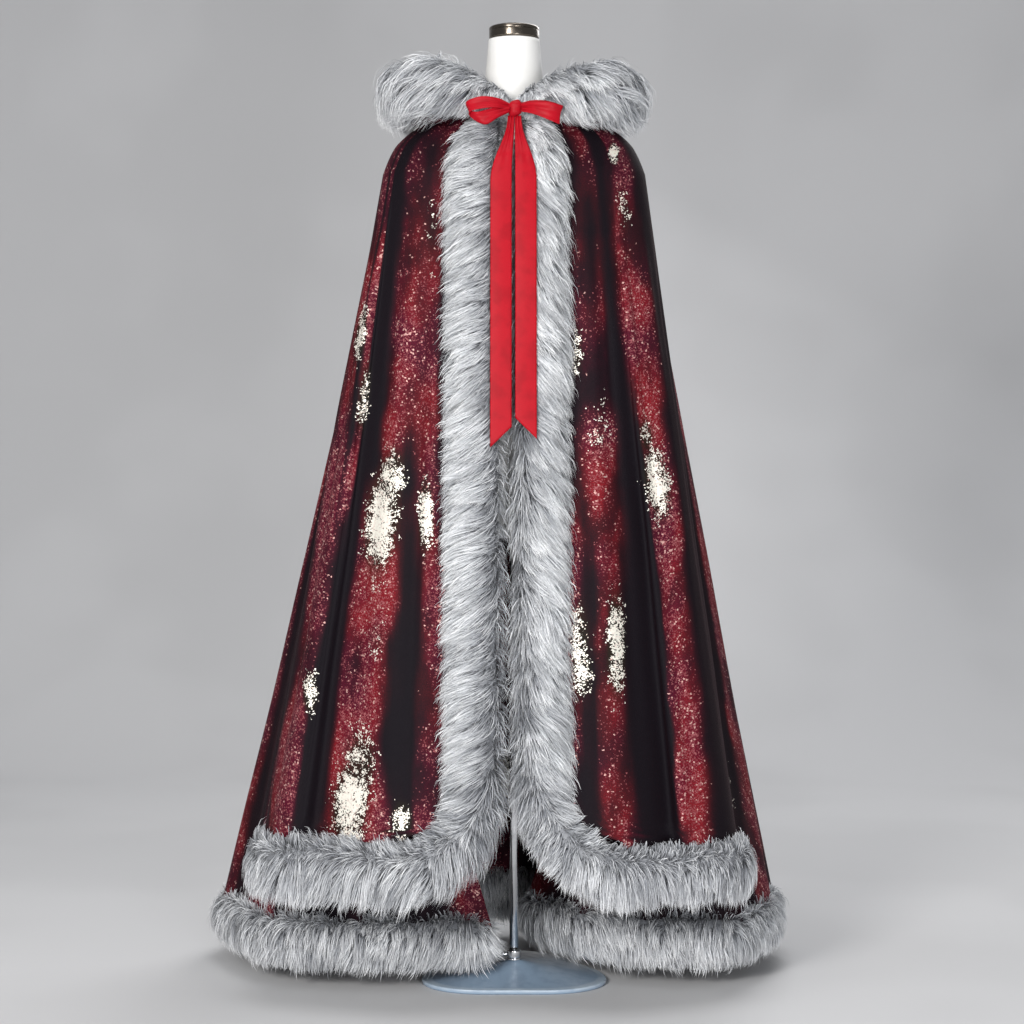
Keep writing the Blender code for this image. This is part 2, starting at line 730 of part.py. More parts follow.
def add_roll(name, rings, finish, collection, flip=False):
    """Make a closed solid through a row of rings, with its two ends closed by fans."""
    rows, columns = rings.shape[:2]
    vertices = rings.reshape(-1, 3).tolist()
    vertices.append(rings[0].mean(axis=0).tolist())
    vertices.append(rings[-1].mean(axis=0).tolist())
    first, last = len(vertices) - 2, len(vertices) - 1
    faces = grid_faces(rows, columns, wrap=True)
    for col in range(columns):
        beside = (col + 1) % columns
        faces.append((first, beside, col))
        faces.append((last, (rows - 1) * columns + col, (rows - 1) * columns + beside))
    return add_object(name, vertices, facing(faces, flip), finish, collection)


def add_turned(name, profile, finish, collection, segments=32, closed=False):
    """Turn a profile of (radius, height) pairs, from top to bottom, about the pole's axis."""
    vertices = [(radius, 0.0, z) for radius, z in profile]
    edges = [(index, index + 1) for index in range(len(profile) - 1)]
    if closed:
        edges.append((len(profile) - 1, 0))
    mesh = bpy.data.meshes.new(name)
    mesh.from_pydata(vertices, edges, [])
    mesh.materials.append(make_material(finish))
    turned = bpy.data.objects.new(name, mesh)
    collection.objects.link(turned)
    screw = turned.modifiers.new("Turn", "SCREW")
    screw.steps = segments
    screw.render_steps = segments
    screw.use_merge_vertices = True
    screw.merge_threshold = 0.0001
    screw.use_smooth_shade = True
    return turned


def build_form(collection):
    """The limbless dress form, its neck cap, pole, collar, screw and base."""
    heights = np.concatenate(
        [np.linspace(0.800, 1.420, 8), [1.460, 1.495, 1.512, 1.525, 1.537, 1.548, 1.557, 1.566, 1.577]]
        + [[1.588, 1.606, 1.630, NECK_TOP_Z]]
    )
    angles = np.arange(0, 360, 9.0)
    rings = np.array([form_ring(angles, np.full(len(angles), z)) for z in heights])
    add_roll("form_torso", rings, FORM_COVER, collection)
    cap_base = NECK_TOP_Z + SEAM_GAP
    cap = (
        (0.0, cap_base + 0.0285),
        (0.026, cap_base + 0.0275),
        (CAP_RADIUS - 0.003, cap_base + 0.0235),
        (CAP_RADIUS, cap_base + 0.0200),
        (CAP_RADIUS, cap_base + 0.0050),
        (CAP_RADIUS - 0.002, cap_base),
        (0.0, cap_base),
    )
    add_turned("neck_cap", cap, DARK_CHROME, collection)
    pole_top = FORM_RINGS[0].z - SEAM_GAP
    pole_bottom = BASE_RIM + BASE_CONE + SEAM_GAP
    pole = ((0.0, pole_top), (POLE_RADIUS, pole_top), (POLE_RADIUS, pole_bottom), (0.0, pole_bottom))
    add_turned("pole", pole, CHROME, collection, segments=20)
    build_base(collection)


def base_outline(scale, z, angles):
    """Ring of the base, a triangle with very round corners and a flat side to the front."""
    corner = 1 + BASE_CORNER_SHARE * np.cos(3 * (angles + math.pi / 6))
    radius = BASE_MEAN_RADIUS * scale * corner
    y = radius * np.sin(angles) + BASE_SET_BACK * scale
    return np.stack([radius * np.cos(angles), y, np.full_like(angles, z)], axis=1)


def build_base(collection):
    """Low metal foot, with the collar and the screw that hold the pole."""
    angles = np.radians(np.arange(0, 360, 8.0))
    rings = [base_outline(0.985, 0.0, angles), base_outline(1.0, 0.002, angles)]
    rings.append(base_outline(1.0, BASE_RIM - 0.001, angles))
    for inward in np.linspace(0.0, 1.0, 8):
        scale = 0.99 + (BASE_TOP_SCALE - 0.99) * inward
        rings.append(base_outline(scale, BASE_RIM + BASE_CONE * inward**1.5, angles))
    add_roll("base", np.array(rings), BASE_PAINT, collection)
    collar_base = BASE_RIM + BASE_CONE + SEAM_GAP
    inner = POLE_RADIUS + SEAM_GAP
    outline = (
        (inner, COLLAR_TOP_Z),
        (COLLAR_RADIUS, COLLAR_TOP_Z),
        (COLLAR_RADIUS, collar_base),
        (inner, collar_base),
    )
    add_turned("base_collar", outline, CHROME, collection, segments=24, closed=True)
    bpy.ops.mesh.primitive_cylinder_add(vertices=16, radius=0.004, depth=0.010)
    screw = bpy.context.object
    screw.name = "base_screw"
    screw.data.materials.append(make_material(CHROME))
    screw.rotation_euler = (0.0, math.radians(90), 0.0)
    screw.location = (-(COLLAR_RADIUS + SEAM_GAP + 0.005), 0.0, COLLAR_TOP_Z - 0.008)
    for old_home in screw.users_collection:
        old_home.objects.unlink(screw)
    collection.objects.link(screw)


def build_cloak(collection):
    """The cloak's cloth and its fur."""
    for name, panel in zip(("left", "right"), front_panels()):
        flip = panel.side > 0
        add_cloth("front_" + name, panel_rows(panel, 22), CLOTH, VELVET, collection, flip=not flip)
        fur_panel = FrontPanel(
            panel.side, evened(panel.folds), panel.strip_width, panel.corner_radius, panel.strip_end
        )
        add_roll("fur_front_" + name, strip_rings(fur_panel), FUR, collection, flip=flip)
    add_cloth("back", back_rows(50), CLOTH, VELVET, collection)
    left_gore = gore_rows(LEFT_GORE, LEFT_GORE[-1], 9)
    right_gore = gore_rows(RIGHT_GORE, RIGHT_GORE[0], 10)
    add_cloth("gore_left", left_gore, CLOTH, VELVET, collection)
    add_cloth("gore_right", right_gore, CLOTH, VELVET, collection)
    add_roll("fur_hem", long_hem_rings(), FUR, collection)


def build_hood(collection):
    """The hood, lying open on the shoulders, and the roll of fur on its edge."""
    add_cloth("hood", hood_rows(), CLOTH, VELVET, collection)
    add_roll("fur_hood", hood_fur_rings(), FUR, collection, flip=True)


def build_bow(collection):
    """The ribbon tie: a knot, two loops and two tails."""
    knot = np.array([KNOT_X, KNOT_Y, KNOT_Z])
    bpy.ops.mesh.primitive_uv_sphere_add(segments=16, ring_count=8, radius=1.0)
    ball = bpy.context.object
    ball.name = "bow_knot"
    ball.data.materials.append(make_material(SATIN))
    ball.data.shade_smooth()
    ball.scale = KNOT_HALF
    ball.location = knot
    for old_home in ball.users_collection:
        old_home.objects.unlink(ball)
    collection.objects.link(ball)
    add_cloth("bow_loop_left", loop_rows(-1, 0.10, knot), RIBBON, SATIN, collection)
    add_cloth("bow_loop_right", loop_rows(1, 0.22, knot), RIBBON, SATIN, collection)
    left, right = front_panels()
    add_cloth("bow_tail_left", tail_rows(left, -0.0225, 0.560, 0.030), RIBBON, SATIN, collection)
    add_cloth("bow_tail_right", tail_rows(right, 0.0205, 0.545, -0.030), RIBBON, SATIN, collection)


def main():
    """Build the cloak on its dress form."""
    clear_scene()
    collection = make_collection(COLLECTION_NAME)
    build_form(collection)
    build_cloak(collection)
    build_hood(collection)
    build_bow(collection)


main()
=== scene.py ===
"""Looks of a hooded cloak with long fur edging that hangs on a limbless dress form.

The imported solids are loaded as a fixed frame, and every visible piece is built in their
places as a finer surface: the velvet with its folds and worn foil, the pile of the fur hair
by hair, the tied ribbon, and the form with its stand. Units are metres, +Z is up and the
open front faces -Y. A surface is worked out on a grid of two parameters: a place round or
across the cloth, and a height or a distance along an edging.
"""

import logging
import math
from collections.abc import Callable
from dataclasses import dataclass, field
from enum import Enum
from functools import partial

import bpy
import numpy as np
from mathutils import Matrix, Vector


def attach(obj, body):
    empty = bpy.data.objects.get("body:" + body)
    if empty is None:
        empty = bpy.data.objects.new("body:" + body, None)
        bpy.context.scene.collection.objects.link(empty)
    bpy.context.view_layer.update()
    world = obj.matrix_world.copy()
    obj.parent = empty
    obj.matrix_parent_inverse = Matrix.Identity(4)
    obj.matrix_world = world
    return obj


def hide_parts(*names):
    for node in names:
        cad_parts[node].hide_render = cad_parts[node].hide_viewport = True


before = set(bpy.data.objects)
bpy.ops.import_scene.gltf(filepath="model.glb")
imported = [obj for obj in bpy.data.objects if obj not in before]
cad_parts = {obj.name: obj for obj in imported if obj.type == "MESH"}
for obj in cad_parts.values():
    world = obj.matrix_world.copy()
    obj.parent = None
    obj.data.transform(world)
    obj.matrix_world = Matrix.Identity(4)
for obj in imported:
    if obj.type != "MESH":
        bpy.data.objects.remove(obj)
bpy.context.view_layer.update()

LOG = logging.getLogger("cloak")
Array = np.ndarray
Colour = tuple[float, float, float]
Piece = bpy.types.Object
Material = bpy.types.Material
Socket = bpy.types.NodeSocket

BODY = "root"

# Walls of the velvet and of the ribbon.
CLOTH = 0.0018
RIBBON = 0.0010

# Heights on the form and the cloak.
FORM_FOOT_Z = 0.800
NECK_TOP_Z = 1.693
NECK_EDGE_Z = 1.580
STRIP_TOP_Z = 1.538
SHOULDER_Z = 1.450
GORE_POINT_Z = 1.000
GORE_TOP_Z = 0.940
FRONT_HEM_Z = 0.187
LONG_CLOTH_END_Z = 0.1435
LONG_HEM_Z = 0.037

# The fur's sections, and how far the cloth goes on under the fur.
LONG_BAND = 0.106
LONG_BAND_REACH = 0.037
STRIP_OUTWARD = 0.028
STRIP_INWARD = 0.016
UNDER_FUR = 0.014
LONG_TUCK = 0.045

# The view: the camera's distance and height, the fronts' mean distance from it, the pixels to
# a metre at 1 m from it, and the column and the row that it looks at.
EYE_DISTANCE = 4.0
EYE_Z = 0.95
FRONT_DISTANCE = 3.83
PIXELS_A_METRE = 2222.0
MIDDLE_COLUMN = 514.0
EYE_ROW = 453.0

# Size of a random lattice, and the step that slopes are measured over.
LATTICE = 64
STEP = 0.001


# --- Curves and fields ---


def smooth_steps(knots: Array, values: Array, wanted: Array) -> Array:
    """Read a cubic curve through (knot, value) pairs whose slopes never overshoot them.

    Args:
        knots: places of the known values, rising.
        values: the known values.
        wanted: places to read the curve at.

    Returns:
        The values at the wanted places, with the shape of wanted.
    """
    knots = np.asarray(knots, dtype=float)
    values = np.asarray(values, dtype=float)
    widths = np.diff(knots)
    slopes = np.diff(values) / widths
    same_way = slopes[1:] * slopes[:-1] > 0
    harmonic = 2 * slopes[1:] * slopes[:-1] / np.where(same_way, slopes[1:] + slopes[:-1], 1.0)
    tangents = np.concatenate([slopes[:1], np.where(same_way, harmonic, 0.0), slopes[-1:]])
    wanted = np.clip(wanted, knots[0], knots[-1])
    place = np.clip(np.searchsorted(knots, wanted, side="right") - 1, 0, len(widths) - 1)
    width = widths[place]
    part = (wanted - knots[place]) / width
    return (
        (2 * part**3 - 3 * part**2 + 1) * values[place]
        + (part**3 - 2 * part**2 + part) * width * tangents[place]
        + (3 * part**2 - 2 * part**3) * values[place + 1]
        + (part**3 - part**2) * width * tangents[place + 1]
    )


def smooth_path(points: Array, wanted: Array) -> Array:
    """Read a Catmull-Rom curve through points at places counted from 0 to the last one.

    Args:
        points: the curve's points, one a row.
        wanted: places counted in points.

    Returns:
        One point for each wanted place.
    """
    points = np.asarray(points, dtype=float)
    wanted = np.asarray(wanted, dtype=float)
    padded = np.vstack([2 * points[0] - points[1], points, 2 * points[-1] - points[-2]])
    place = np.clip(np.floor(wanted).astype(int), 0, len(points) - 2)
    part = (wanted - place)[..., None]
    a, b, c, d = (padded[place + step] for step in range(4))
    return 0.5 * (
        2 * b
        + (c - a) * part
        + (2 * a - 5 * b + 4 * c - d) * part**2
        + (3 * b - a - 3 * c + d) * part**3
    )


def lengths_along(points: Array) -> Array:
    """Distance of each point from the first one, measured along the line."""
    steps = np.linalg.norm(np.diff(points, axis=0), axis=-1)
    return np.concatenate([0 * steps[:1], np.cumsum(steps, axis=0)])


def read_lines(wanted: Array, knots: Array, values: Array) -> Array:
    """Read several lines at once, each with straight steps between its own knots.

    Args:
        wanted: one row of places for each line.
        knots: one row of rising knots for each line.
        values: one row of values at the knots for each line.

    Returns:
        One row of values for each line.
    """
    return np.stack([np.interp(*line) for line in zip(wanted, knots, values)])


def even_path(points: Array, count: int) -> Array:
    """Resample the smooth curve through points at even distances along it.

    Args:
        points: the curve's points, one a row.
        count: number of points wanted.

    Returns:
        The new points, one a row.
    """
    dense = smooth_path(points, np.linspace(0, len(points) - 1, 40 * len(points)))
    along = lengths_along(dense)
    wanted = np.linspace(0, along[-1], count)
    return np.stack([np.interp(wanted, along, dense[:, axis]) for axis in range(dense.shape[1])], 1)


def ease(low: float, high: float, value: Array) -> Array:
    """Smooth step that is 0 up to low and 1 from high on."""
    part = np.clip((np.asarray(value, dtype=float) - low) / (high - low), 0.0, 1.0)
    return part * part * (3 - 2 * part)


def bump_at(value: Array, centre: Array, width: float) -> Array:
    """Bell curve that is 1 at centre and falls to 0.37 a width away."""
    return np.exp(-(((value - centre) / width) ** 2))


def soft_noise(u: Array, v: Array, seed: int) -> Array:
    """Smooth random field between -1 and 1 with features one unit wide.

    Random values on a lattice of whole numbers are mixed by smooth steps between them.

    Args:
        u: first coordinate, in units of a feature.
        v: second coordinate, in units of a feature.
        seed: which field.

    Returns:
        The field's values.
    """
    table = np.random.default_rng(seed).uniform(-1, 1, (LATTICE, LATTICE))
    low_u, low_v = np.floor(u).astype(int), np.floor(v).astype(int)
    part_u, part_v = ease(0, 1, u - low_u), ease(0, 1, v - low_v)
    low_u, low_v = low_u % LATTICE, low_v % LATTICE
    high_u, high_v = (low_u + 1) % LATTICE, (low_v + 1) % LATTICE
    near = table[low_u, low_v] * (1 - part_u) + table[high_u, low_v] * part_u
    far = table[low_u, high_v] * (1 - part_u) + table[high_u, high_v] * part_u
    return near * (1 - part_v) + far * part_v


@dataclass(frozen=True)
class Ripple:
    """A slow random field over a cloth: its height, its features a unit each way, its seed."""

    height: float
    across: float
    down: float
    seed: int
    shift: float = 0.0

    def at(self, u: Array, v: Array, turn: int = 0) -> Array:
        """The field's values; turn picks another one of its kind."""
        return self.height * soft_noise(u * self.across + self.shift, v * self.down, self.seed + turn)


def unit(vectors: Array) -> Array:
    """The vectors at length 1."""
    return vectors / np.maximum(np.linalg.norm(vectors, axis=-1, keepdims=True), 1e-12)


# --- Meshes ---


@dataclass
class Shape:
    """Points and faces of a piece, with the values its material reads."""

    points: Array
    corners: Array
    sizes: Array
    uv: Array | None = None
    values: dict[str, Array] = field(default_factory=dict)

    def as_object(self, name: str, material: Material) -> Piece:
        """Make the mesh object.

        Args:
            name: the piece's name.
            material: its finish.

        Returns:
            The object, which rides on the root body.
        """
        mesh = bpy.data.meshes.new(name)
        mesh.vertices.add(len(self.points))
        mesh.vertices.foreach_set("co", self.points.astype(np.float32).ravel())
        mesh.loops.add(len(self.corners))
        mesh.loops.foreach_set("vertex_index", self.corners.astype(np.int32))
        mesh.polygons.add(len(self.sizes))
        starts = np.concatenate([[0], np.cumsum(self.sizes)[:-1]])
        mesh.polygons.foreach_set("loop_start", starts.astype(np.int32))
        if self.uv is not None:
            layer = mesh.uv_layers.new(name="Cloth")
            layer.data.foreach_set("uv", self.uv[self.corners].astype(np.float32).ravel())
        for label, numbers in self.values.items():
            attribute = mesh.attributes.new(label, "FLOAT", "POINT")
            attribute.data.foreach_set("value", numbers.astype(np.float32).ravel())
        mesh.materials.append(material)
        mesh.update(calc_edges=True)
        mesh.shade_smooth()
        piece = bpy.data.objects.new(name, mesh)
        bpy.context.scene.collection.objects.link(piece)
        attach(piece, BODY)
        return piece

    def stand_for(self, node: str, name: str, material: Material, slot: str, wall: float = 0.0) -> Piece:
        """Make the piece that is shown in place of a solid.

        Args:
            node: the solid's node.
            name: the piece's name.
            material: its finish.
            slot: not used.
            wall: thickness that a sheet is given, half on each side.

        Returns:
            The object.
        """
        piece = self.as_object(name, material)
        if wall:
            solidify = piece.modifiers.new("Wall", "SOLIDIFY")
            solidify.thickness = wall
            solidify.offset = 0.0
        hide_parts(node)
        LOG.info("%s: %d faces", name, len(self.sizes))
        return piece


def grid_shape(grid: Array, wrap: bool = False, flip: bool = False, uv: Array | None = None) -> Shape:
    """Four-sided faces over a grid of points.

    Args:
        grid: points as rows, columns, xyz.
        wrap: whether the last column joins the first.
        flip: whether the faces are turned over.
        uv: a pair of numbers for each point, as rows, columns, 2.

    Returns:
        The shape, with its points in row order.
    """
    rows, columns = grid.shape[:2]
    index = np.arange(rows * columns).reshape(rows, columns)
    beside = np.roll(index, -1, axis=1) if wrap else index[:, 1:]
    here = index if wrap else index[:, :-1]
    quads = np.stack([here[:-1], beside[:-1], beside[1:], here[1:]], axis=-1).reshape(-1, 4)
    if flip:
        quads = quads[:, ::-1]
    flat_uv = None if uv is None else uv.reshape(-1, 2)
    return Shape(grid.reshape(-1, 3), quads.ravel(), np.full(len(quads), 4), flat_uv)


def closed_shape(grid: Array, flip: bool = False) -> Shape:
    """A grid that wraps round, with each end drawn together to a point by a fan of triangles.

    Args:
        grid: rings of points from one end to the other.
        flip: whether the faces are turned over.

    Returns:
        A closed shape.
    """
    body = grid_shape(grid, wrap=True, flip=flip)
    columns = grid.shape[1]
    total = len(body.points)
    ring = np.arange(columns)
    beside = np.roll(ring, -1)
    last = ring + total - columns
    last_beside = beside + total - columns
    first_fan = np.stack([np.full(columns, total), beside, ring], axis=-1)
    last_fan = np.stack([np.full(columns, total + 1), last, last_beside], axis=-1)
    fans = np.vstack([first_fan, last_fan])
    if flip:
        fans = fans[:, ::-1]
    points = np.vstack([body.points, grid[0].mean(axis=0), grid[-1].mean(axis=0)])
    corners = np.concatenate([body.corners, fans.ravel()])
    return Shape(points, corners, np.concatenate([body.sizes, np.full(len(fans), 3)]))


def joined(shapes: list[Shape]) -> Shape:
    """Several shapes that carry the same values, as one."""
    starts = np.cumsum([0] + [len(shape.points) for shape in shapes])
    corners = [shape.corners + start for shape, start in zip(shapes, starts)]
    whole = Shape(
        np.vstack([shape.points for shape in shapes]),
        np.concatenate(corners),
        np.concatenate([shape.sizes for shape in shapes]),
    )
    for label in shapes[0].values:
        whole.values[label] = np.concatenate([shape.values[label] for shape in shapes])
    return whole


def turned(profile: Array, segments: int) -> Array:
    """Rings of a profile of (radius, height) pairs turned about the pole's axis.

    Args:
        profile: radius and height, from top to bottom.
        segments: points in each ring.

    Returns:
        The rings, as rows, columns, xyz.
    """
    turn = np.linspace(0, 2 * math.pi, segments, endpoint=False)
    radius, height = profile[:, 0, None], profile[:, 1, None]
    return np.stack([radius * np.cos(turn), radius * np.sin(turn), height + 0 * turn], axis=-1)


def rounded(profile: Array, radius: float, steps: int = 4) -> Array:
    """Round each inner corner of a profile with a short curve that its two sides touch.

    Args:
        profile: corner points, one a row.
        radius: how far from a corner the curve starts, at most a third of a side.
        steps: points in each curve.

    Returns:
        The profile with its corners replaced.
    """
    share = np.linspace(0, 1, steps)[:, None]
    rows = [profile[:1]]
    for before, corner, after in zip(profile, profile[1:], profile[2:]):
        back, ahead = before - corner, after - corner
        start = corner + back * min(radius / np.linalg.norm(back), 0.33)
        end = corner + ahead * min(radius / np.linalg.norm(ahead), 0.33)
        rows.append(start * (1 - share) ** 2 + 2 * corner * share * (1 - share) + end * share**2)
    rows.append(profile[-1:])
    return np.vstack(rows)


def outward_in_plan(along: Array) -> Array:
    """Level unit vectors square to directions in plan, to the left of them."""
    along = unit(along)
    return np.stack([-along[..., 1], along[..., 0], 0 * along[..., 0]], axis=-1)


def falling_heights(low: float, above: int, rows: int) -> Array:
    """Heights from the neck's edge to the shoulder level, above of them, and on down to low."""
    over = np.linspace(NECK_EDGE_Z, SHOULDER_Z, above)[:-1]
    return np.concatenate([over, np.linspace(SHOULDER_Z, low, rows - above + 1)])


# --- Finishes ---


class ShaderSheet:
    """A Principled material under construction, with short ways to add and join nodes."""

    def __init__(self, name: str) -> None:
        """Start a material that has only its shader and output."""
        self.material = bpy.data.materials.new(name)
        self.material.use_nodes = True
        self.tree = self.material.node_tree
        self.shader = self.tree.nodes["Principled BSDF"]

    def add(self, kind: str, **settings: object) -> bpy.types.Node:
        """Add a node of a kind and set its properties."""
        node = self.tree.nodes.new(kind)
        for label, value in settings.items():
            setattr(node, label, value)
        return node

    def feed(self, socket: Socket, value: object) -> None:
        """Join a socket to another one, or set its own value."""
        if isinstance(value, Socket):
            self.tree.links.new(value, socket)
        elif isinstance(value, tuple) and len(value) == 3 and len(socket.default_value) == 4:
            socket.default_value = (*value, 1.0)
        else:
            socket.default_value = value

    def set(self, label: str, value: object) -> None:
        """Feed one of the shader's own sockets."""
        self.feed(self.shader.inputs[label], value)

    def attribute(self, label: str) -> Socket:
        """The piece's own values of that name."""
        return self.add("ShaderNodeAttribute", attribute_name=label).outputs["Fac"]

    def cloth_map(self) -> Socket:
        """The piece's own flat map, in metres."""
        return self.add("ShaderNodeUVMap", uv_map="Cloth").outputs["UV"]

    def object_place(self) -> Socket:
        """The place in the row frame."""
        return self.add("ShaderNodeTexCoord").outputs["Object"]

    def stretched(self, vector: Socket, scale: Colour) -> Socket:
        """The vector with each of its axes scaled."""
        mapping = self.add("ShaderNodeMapping")
        self.feed(mapping.inputs["Vector"], vector)
        mapping.inputs["Scale"].default_value = scale
        return mapping.outputs["Vector"]

    def noise(self, vector: Socket, scale: float, detail: float = 2.0) -> Socket:
        """Cloudy values near a half; scale is features a metre."""
        node = self.add("ShaderNodeTexNoise")
        self.feed(node.inputs["Vector"], vector)
        node.inputs["Scale"].default_value = scale
        node.inputs["Detail"].default_value = detail
        return node.outputs["Fac"]

    def shaken(self, vector: Socket, scale: float, distance: float) -> Socket:
        """The vector moved about by a fine noise, by up to about half the distance."""
        node = self.add("ShaderNodeTexNoise")
        self.feed(node.inputs["Vector"], vector)
        node.inputs["Scale"].default_value = scale
        shift = self.add("ShaderNodeVectorMath", operation="MULTIPLY_ADD")
        self.feed(shift.inputs[0], node.outputs["Color"])
        shift.inputs[1].default_value = (distance, distance, 0.0)
        self.feed(shift.inputs[2], vector)
        return shift.outputs["Vector"]

    def cells(self, vector: Socket, scale: float) -> Socket:
        """One random value from 0 to 1 for each small cell of a flat map."""
        node = self.add("ShaderNodeTexVoronoi", voronoi_dimensions="2D")
        self.feed(node.inputs["Vector"], vector)
        node.inputs["Scale"].default_value = scale
        split = self.add("ShaderNodeSeparateColor")
        self.feed(split.inputs["Color"], node.outputs["Color"])
        return split.outputs["Red"]

    def maths(self, operation: str, *values: object) -> Socket:
        """The result of one sum on two or three values."""
        node = self.add("ShaderNodeMath", operation=operation)
        for socket, value in zip(node.inputs, values):
            self.feed(socket, value)
        return node.outputs["Value"]

    def between(self, value: object, low: float, high: float, at_low: float = 0.0, at_high: float = 1.0) -> Socket:
        """A smooth step of a value, from at_low at low to at_high at high."""
        node = self.add("ShaderNodeMapRange", interpolation_type="SMOOTHSTEP")
        self.feed(node.inputs["Value"], value)
        node.inputs["From Min"].default_value = low
        node.inputs["From Max"].default_value = high
        node.inputs["To Min"].default_value = at_low
        node.inputs["To Max"].default_value = at_high
        return node.outputs["Result"]

    def blend(self, share: object, first: object, second: object, how: str = "MIX") -> Socket:
        """A colour between two others, or made of both."""
        node = self.add("ShaderNodeMix", data_type="RGBA", blend_type=how)
        self.feed(node.inputs["Factor"], share)
        colours = [socket for socket in node.inputs if socket.type == "RGBA"]
        self.feed(colours[0], first)
        self.feed(colours[1], second)
        return next(socket for socket in node.outputs if socket.type == "RGBA")

    def bump(self, height: Socket, distance: float, strength: float = 1.0) -> None:
        """Tilt the shading by a height field, in metres of relief."""
        node = self.add("ShaderNodeBump")
        node.inputs["Strength"].default_value = strength
        node.inputs["Distance"].default_value = distance
        self.feed(node.inputs["Height"], height)
        self.set("Normal", node.outputs["Normal"])


@dataclass(frozen=True)
class FoiledVelvet:
    """Velvet with painted light and shade from near black to wine, with foil specks and worn pale gold patches."""

    name: str = "foiled_velvet"
    # shade_and_grain is the nap's painted shade colour, also used for its fine dark grain; wine and ember are its
    # lit red.
    shade_and_grain: Colour = (0.0062, 0.0045, 0.0070)
    wine: Colour = (0.098, 0.0060, 0.0200)
    ember: Colour = (0.215, 0.0105, 0.0165)
    soot: Colour = (0.0160, 0.0135, 0.0090)
    dusky_foil: Colour = (0.290, 0.088, 0.095)
    rose_foil: Colour = (0.600, 0.350, 0.315)
    pale_foil: Colour = (0.900, 0.870, 0.775)
    cells_a_metre: float = 540.0
    wider_cells: float = 0.71
    shakes_a_metre: float = 300.0
    shake: float = 0.0014
    fine_wear: float = 1.30
    coarse_wear: float = 1.50
    # most_lit_specks is the share of cells with foil specks where the painted light is full.
    most_lit_specks: float = 0.62
    bright_share: float = 0.16

    def material(self) -> Material:
        """The velvet's nodes.

        The attribute glow is the nap's painted light and shade, from the shade colour at 0 to lit red at 1, and foil
        says how much of a patch is left. Each small cell holds foil when its random value is under the lit speck
        share there. Most specks are dusky and a few are bright; in a patch the cells run together.

        Returns:
            The material.
        """
        sheet = ShaderSheet(self.name)
        blend, between, maths, noise = sheet.blend, sheet.between, sheet.maths, sheet.noise
        flat = sheet.cloth_map()
        place = sheet.shaken(flat, self.shakes_a_metre, self.shake)
        glow, foil = sheet.attribute("glow"), sheet.attribute("foil")
        clouds = noise(sheet.stretched(flat, (1.0, 0.42, 1.0)), 15.0, 5.0)
        hue = noise(sheet.stretched(flat, (1.0, 0.6, 1.0)), 7.0, 3.0)
        grain, coarse, fine = noise(flat, 85.0, 5.0), noise(flat, 26.0, 4.0), noise(flat, 480.0, 2.0)
        # Painted light of the nap, varied by random clouds; where it is low the nap takes the painted shade colour.
        clouded_light = maths("MULTIPLY", glow, between(clouds, 0.32, 0.64, 0.35, 1.25))
        red = blend(between(hue, 0.42, 0.60), self.wine, self.ember)
        nap = blend(between(clouded_light, 0.02, 0.85), self.shade_and_grain, red)
        nap = blend(between(fine, 0.35, 0.65, 0.0, 0.50), nap, self.shade_and_grain)
        worn = maths("MULTIPLY_ADD", maths("SUBTRACT", grain, 0.5), self.fine_wear, foil)
        worn = maths("MULTIPLY_ADD", maths("SUBTRACT", coarse, 0.5), self.coarse_wear, worn)
        patch = maths("MULTIPLY", between(worn, 0.22, 1.02, 0.0, 0.95), between(foil, 0.04, 0.20))
        nap = blend(between(foil, 0.10, 0.60, 0.0, 0.85), nap, self.soot)
        # The foil specks are print, but their share follows the painted light, so where the nap is lit they also
        # stand for painted glints.
        lit_speck_share = between(clouded_light, 0.16, 1.0, 0.0, self.most_lit_specks)
        dust = maths("MULTIPLY", lit_speck_share, between(grain, 0.36, 0.66, 0.30, 1.0))
        random_cell = sheet.cells(place, self.cells_a_metre)
        other_cell = sheet.cells(place, self.cells_a_metre * self.wider_cells)
        dusky = maths("LESS_THAN", random_cell, dust)
        bright = maths("LESS_THAN", other_cell, maths("MULTIPLY", dust, self.bright_share))
        whole = maths("LESS_THAN", random_cell, patch)
        depth = between(other_cell, 0.0, 1.0, 0.25, 1.0)
        surface = blend(maths("MULTIPLY", dusky, depth), nap, self.dusky_foil)
        surface = blend(maths("MULTIPLY", bright, 0.85), surface, self.rose_foil)
        gold = blend(between(other_cell, 0.55, 1.0, 0.0, 0.40), self.pale_foil, self.rose_foil)
        held = maths("MAXIMUM", whole, bright)
        sheet.set("Base Color", blend(whole, surface, gold))
        sheet.set("Metallic", maths("MULTIPLY", held, 0.30))
        sheet.set("Roughness", between(held, 0.0, 1.0, 0.66, 0.42))
        sheet.set("Specular IOR Level", 0.09)
        sheet.set("Sheen Weight", 0.03)
        sheet.set("Sheen Roughness", 0.40)
        sheet.set("Sheen Tint", (0.60, 0.08, 0.14))
        sheet.bump(maths("MULTIPLY_ADD", random_cell, 0.8, fine), 0.0007, 0.8)
        return sheet.material


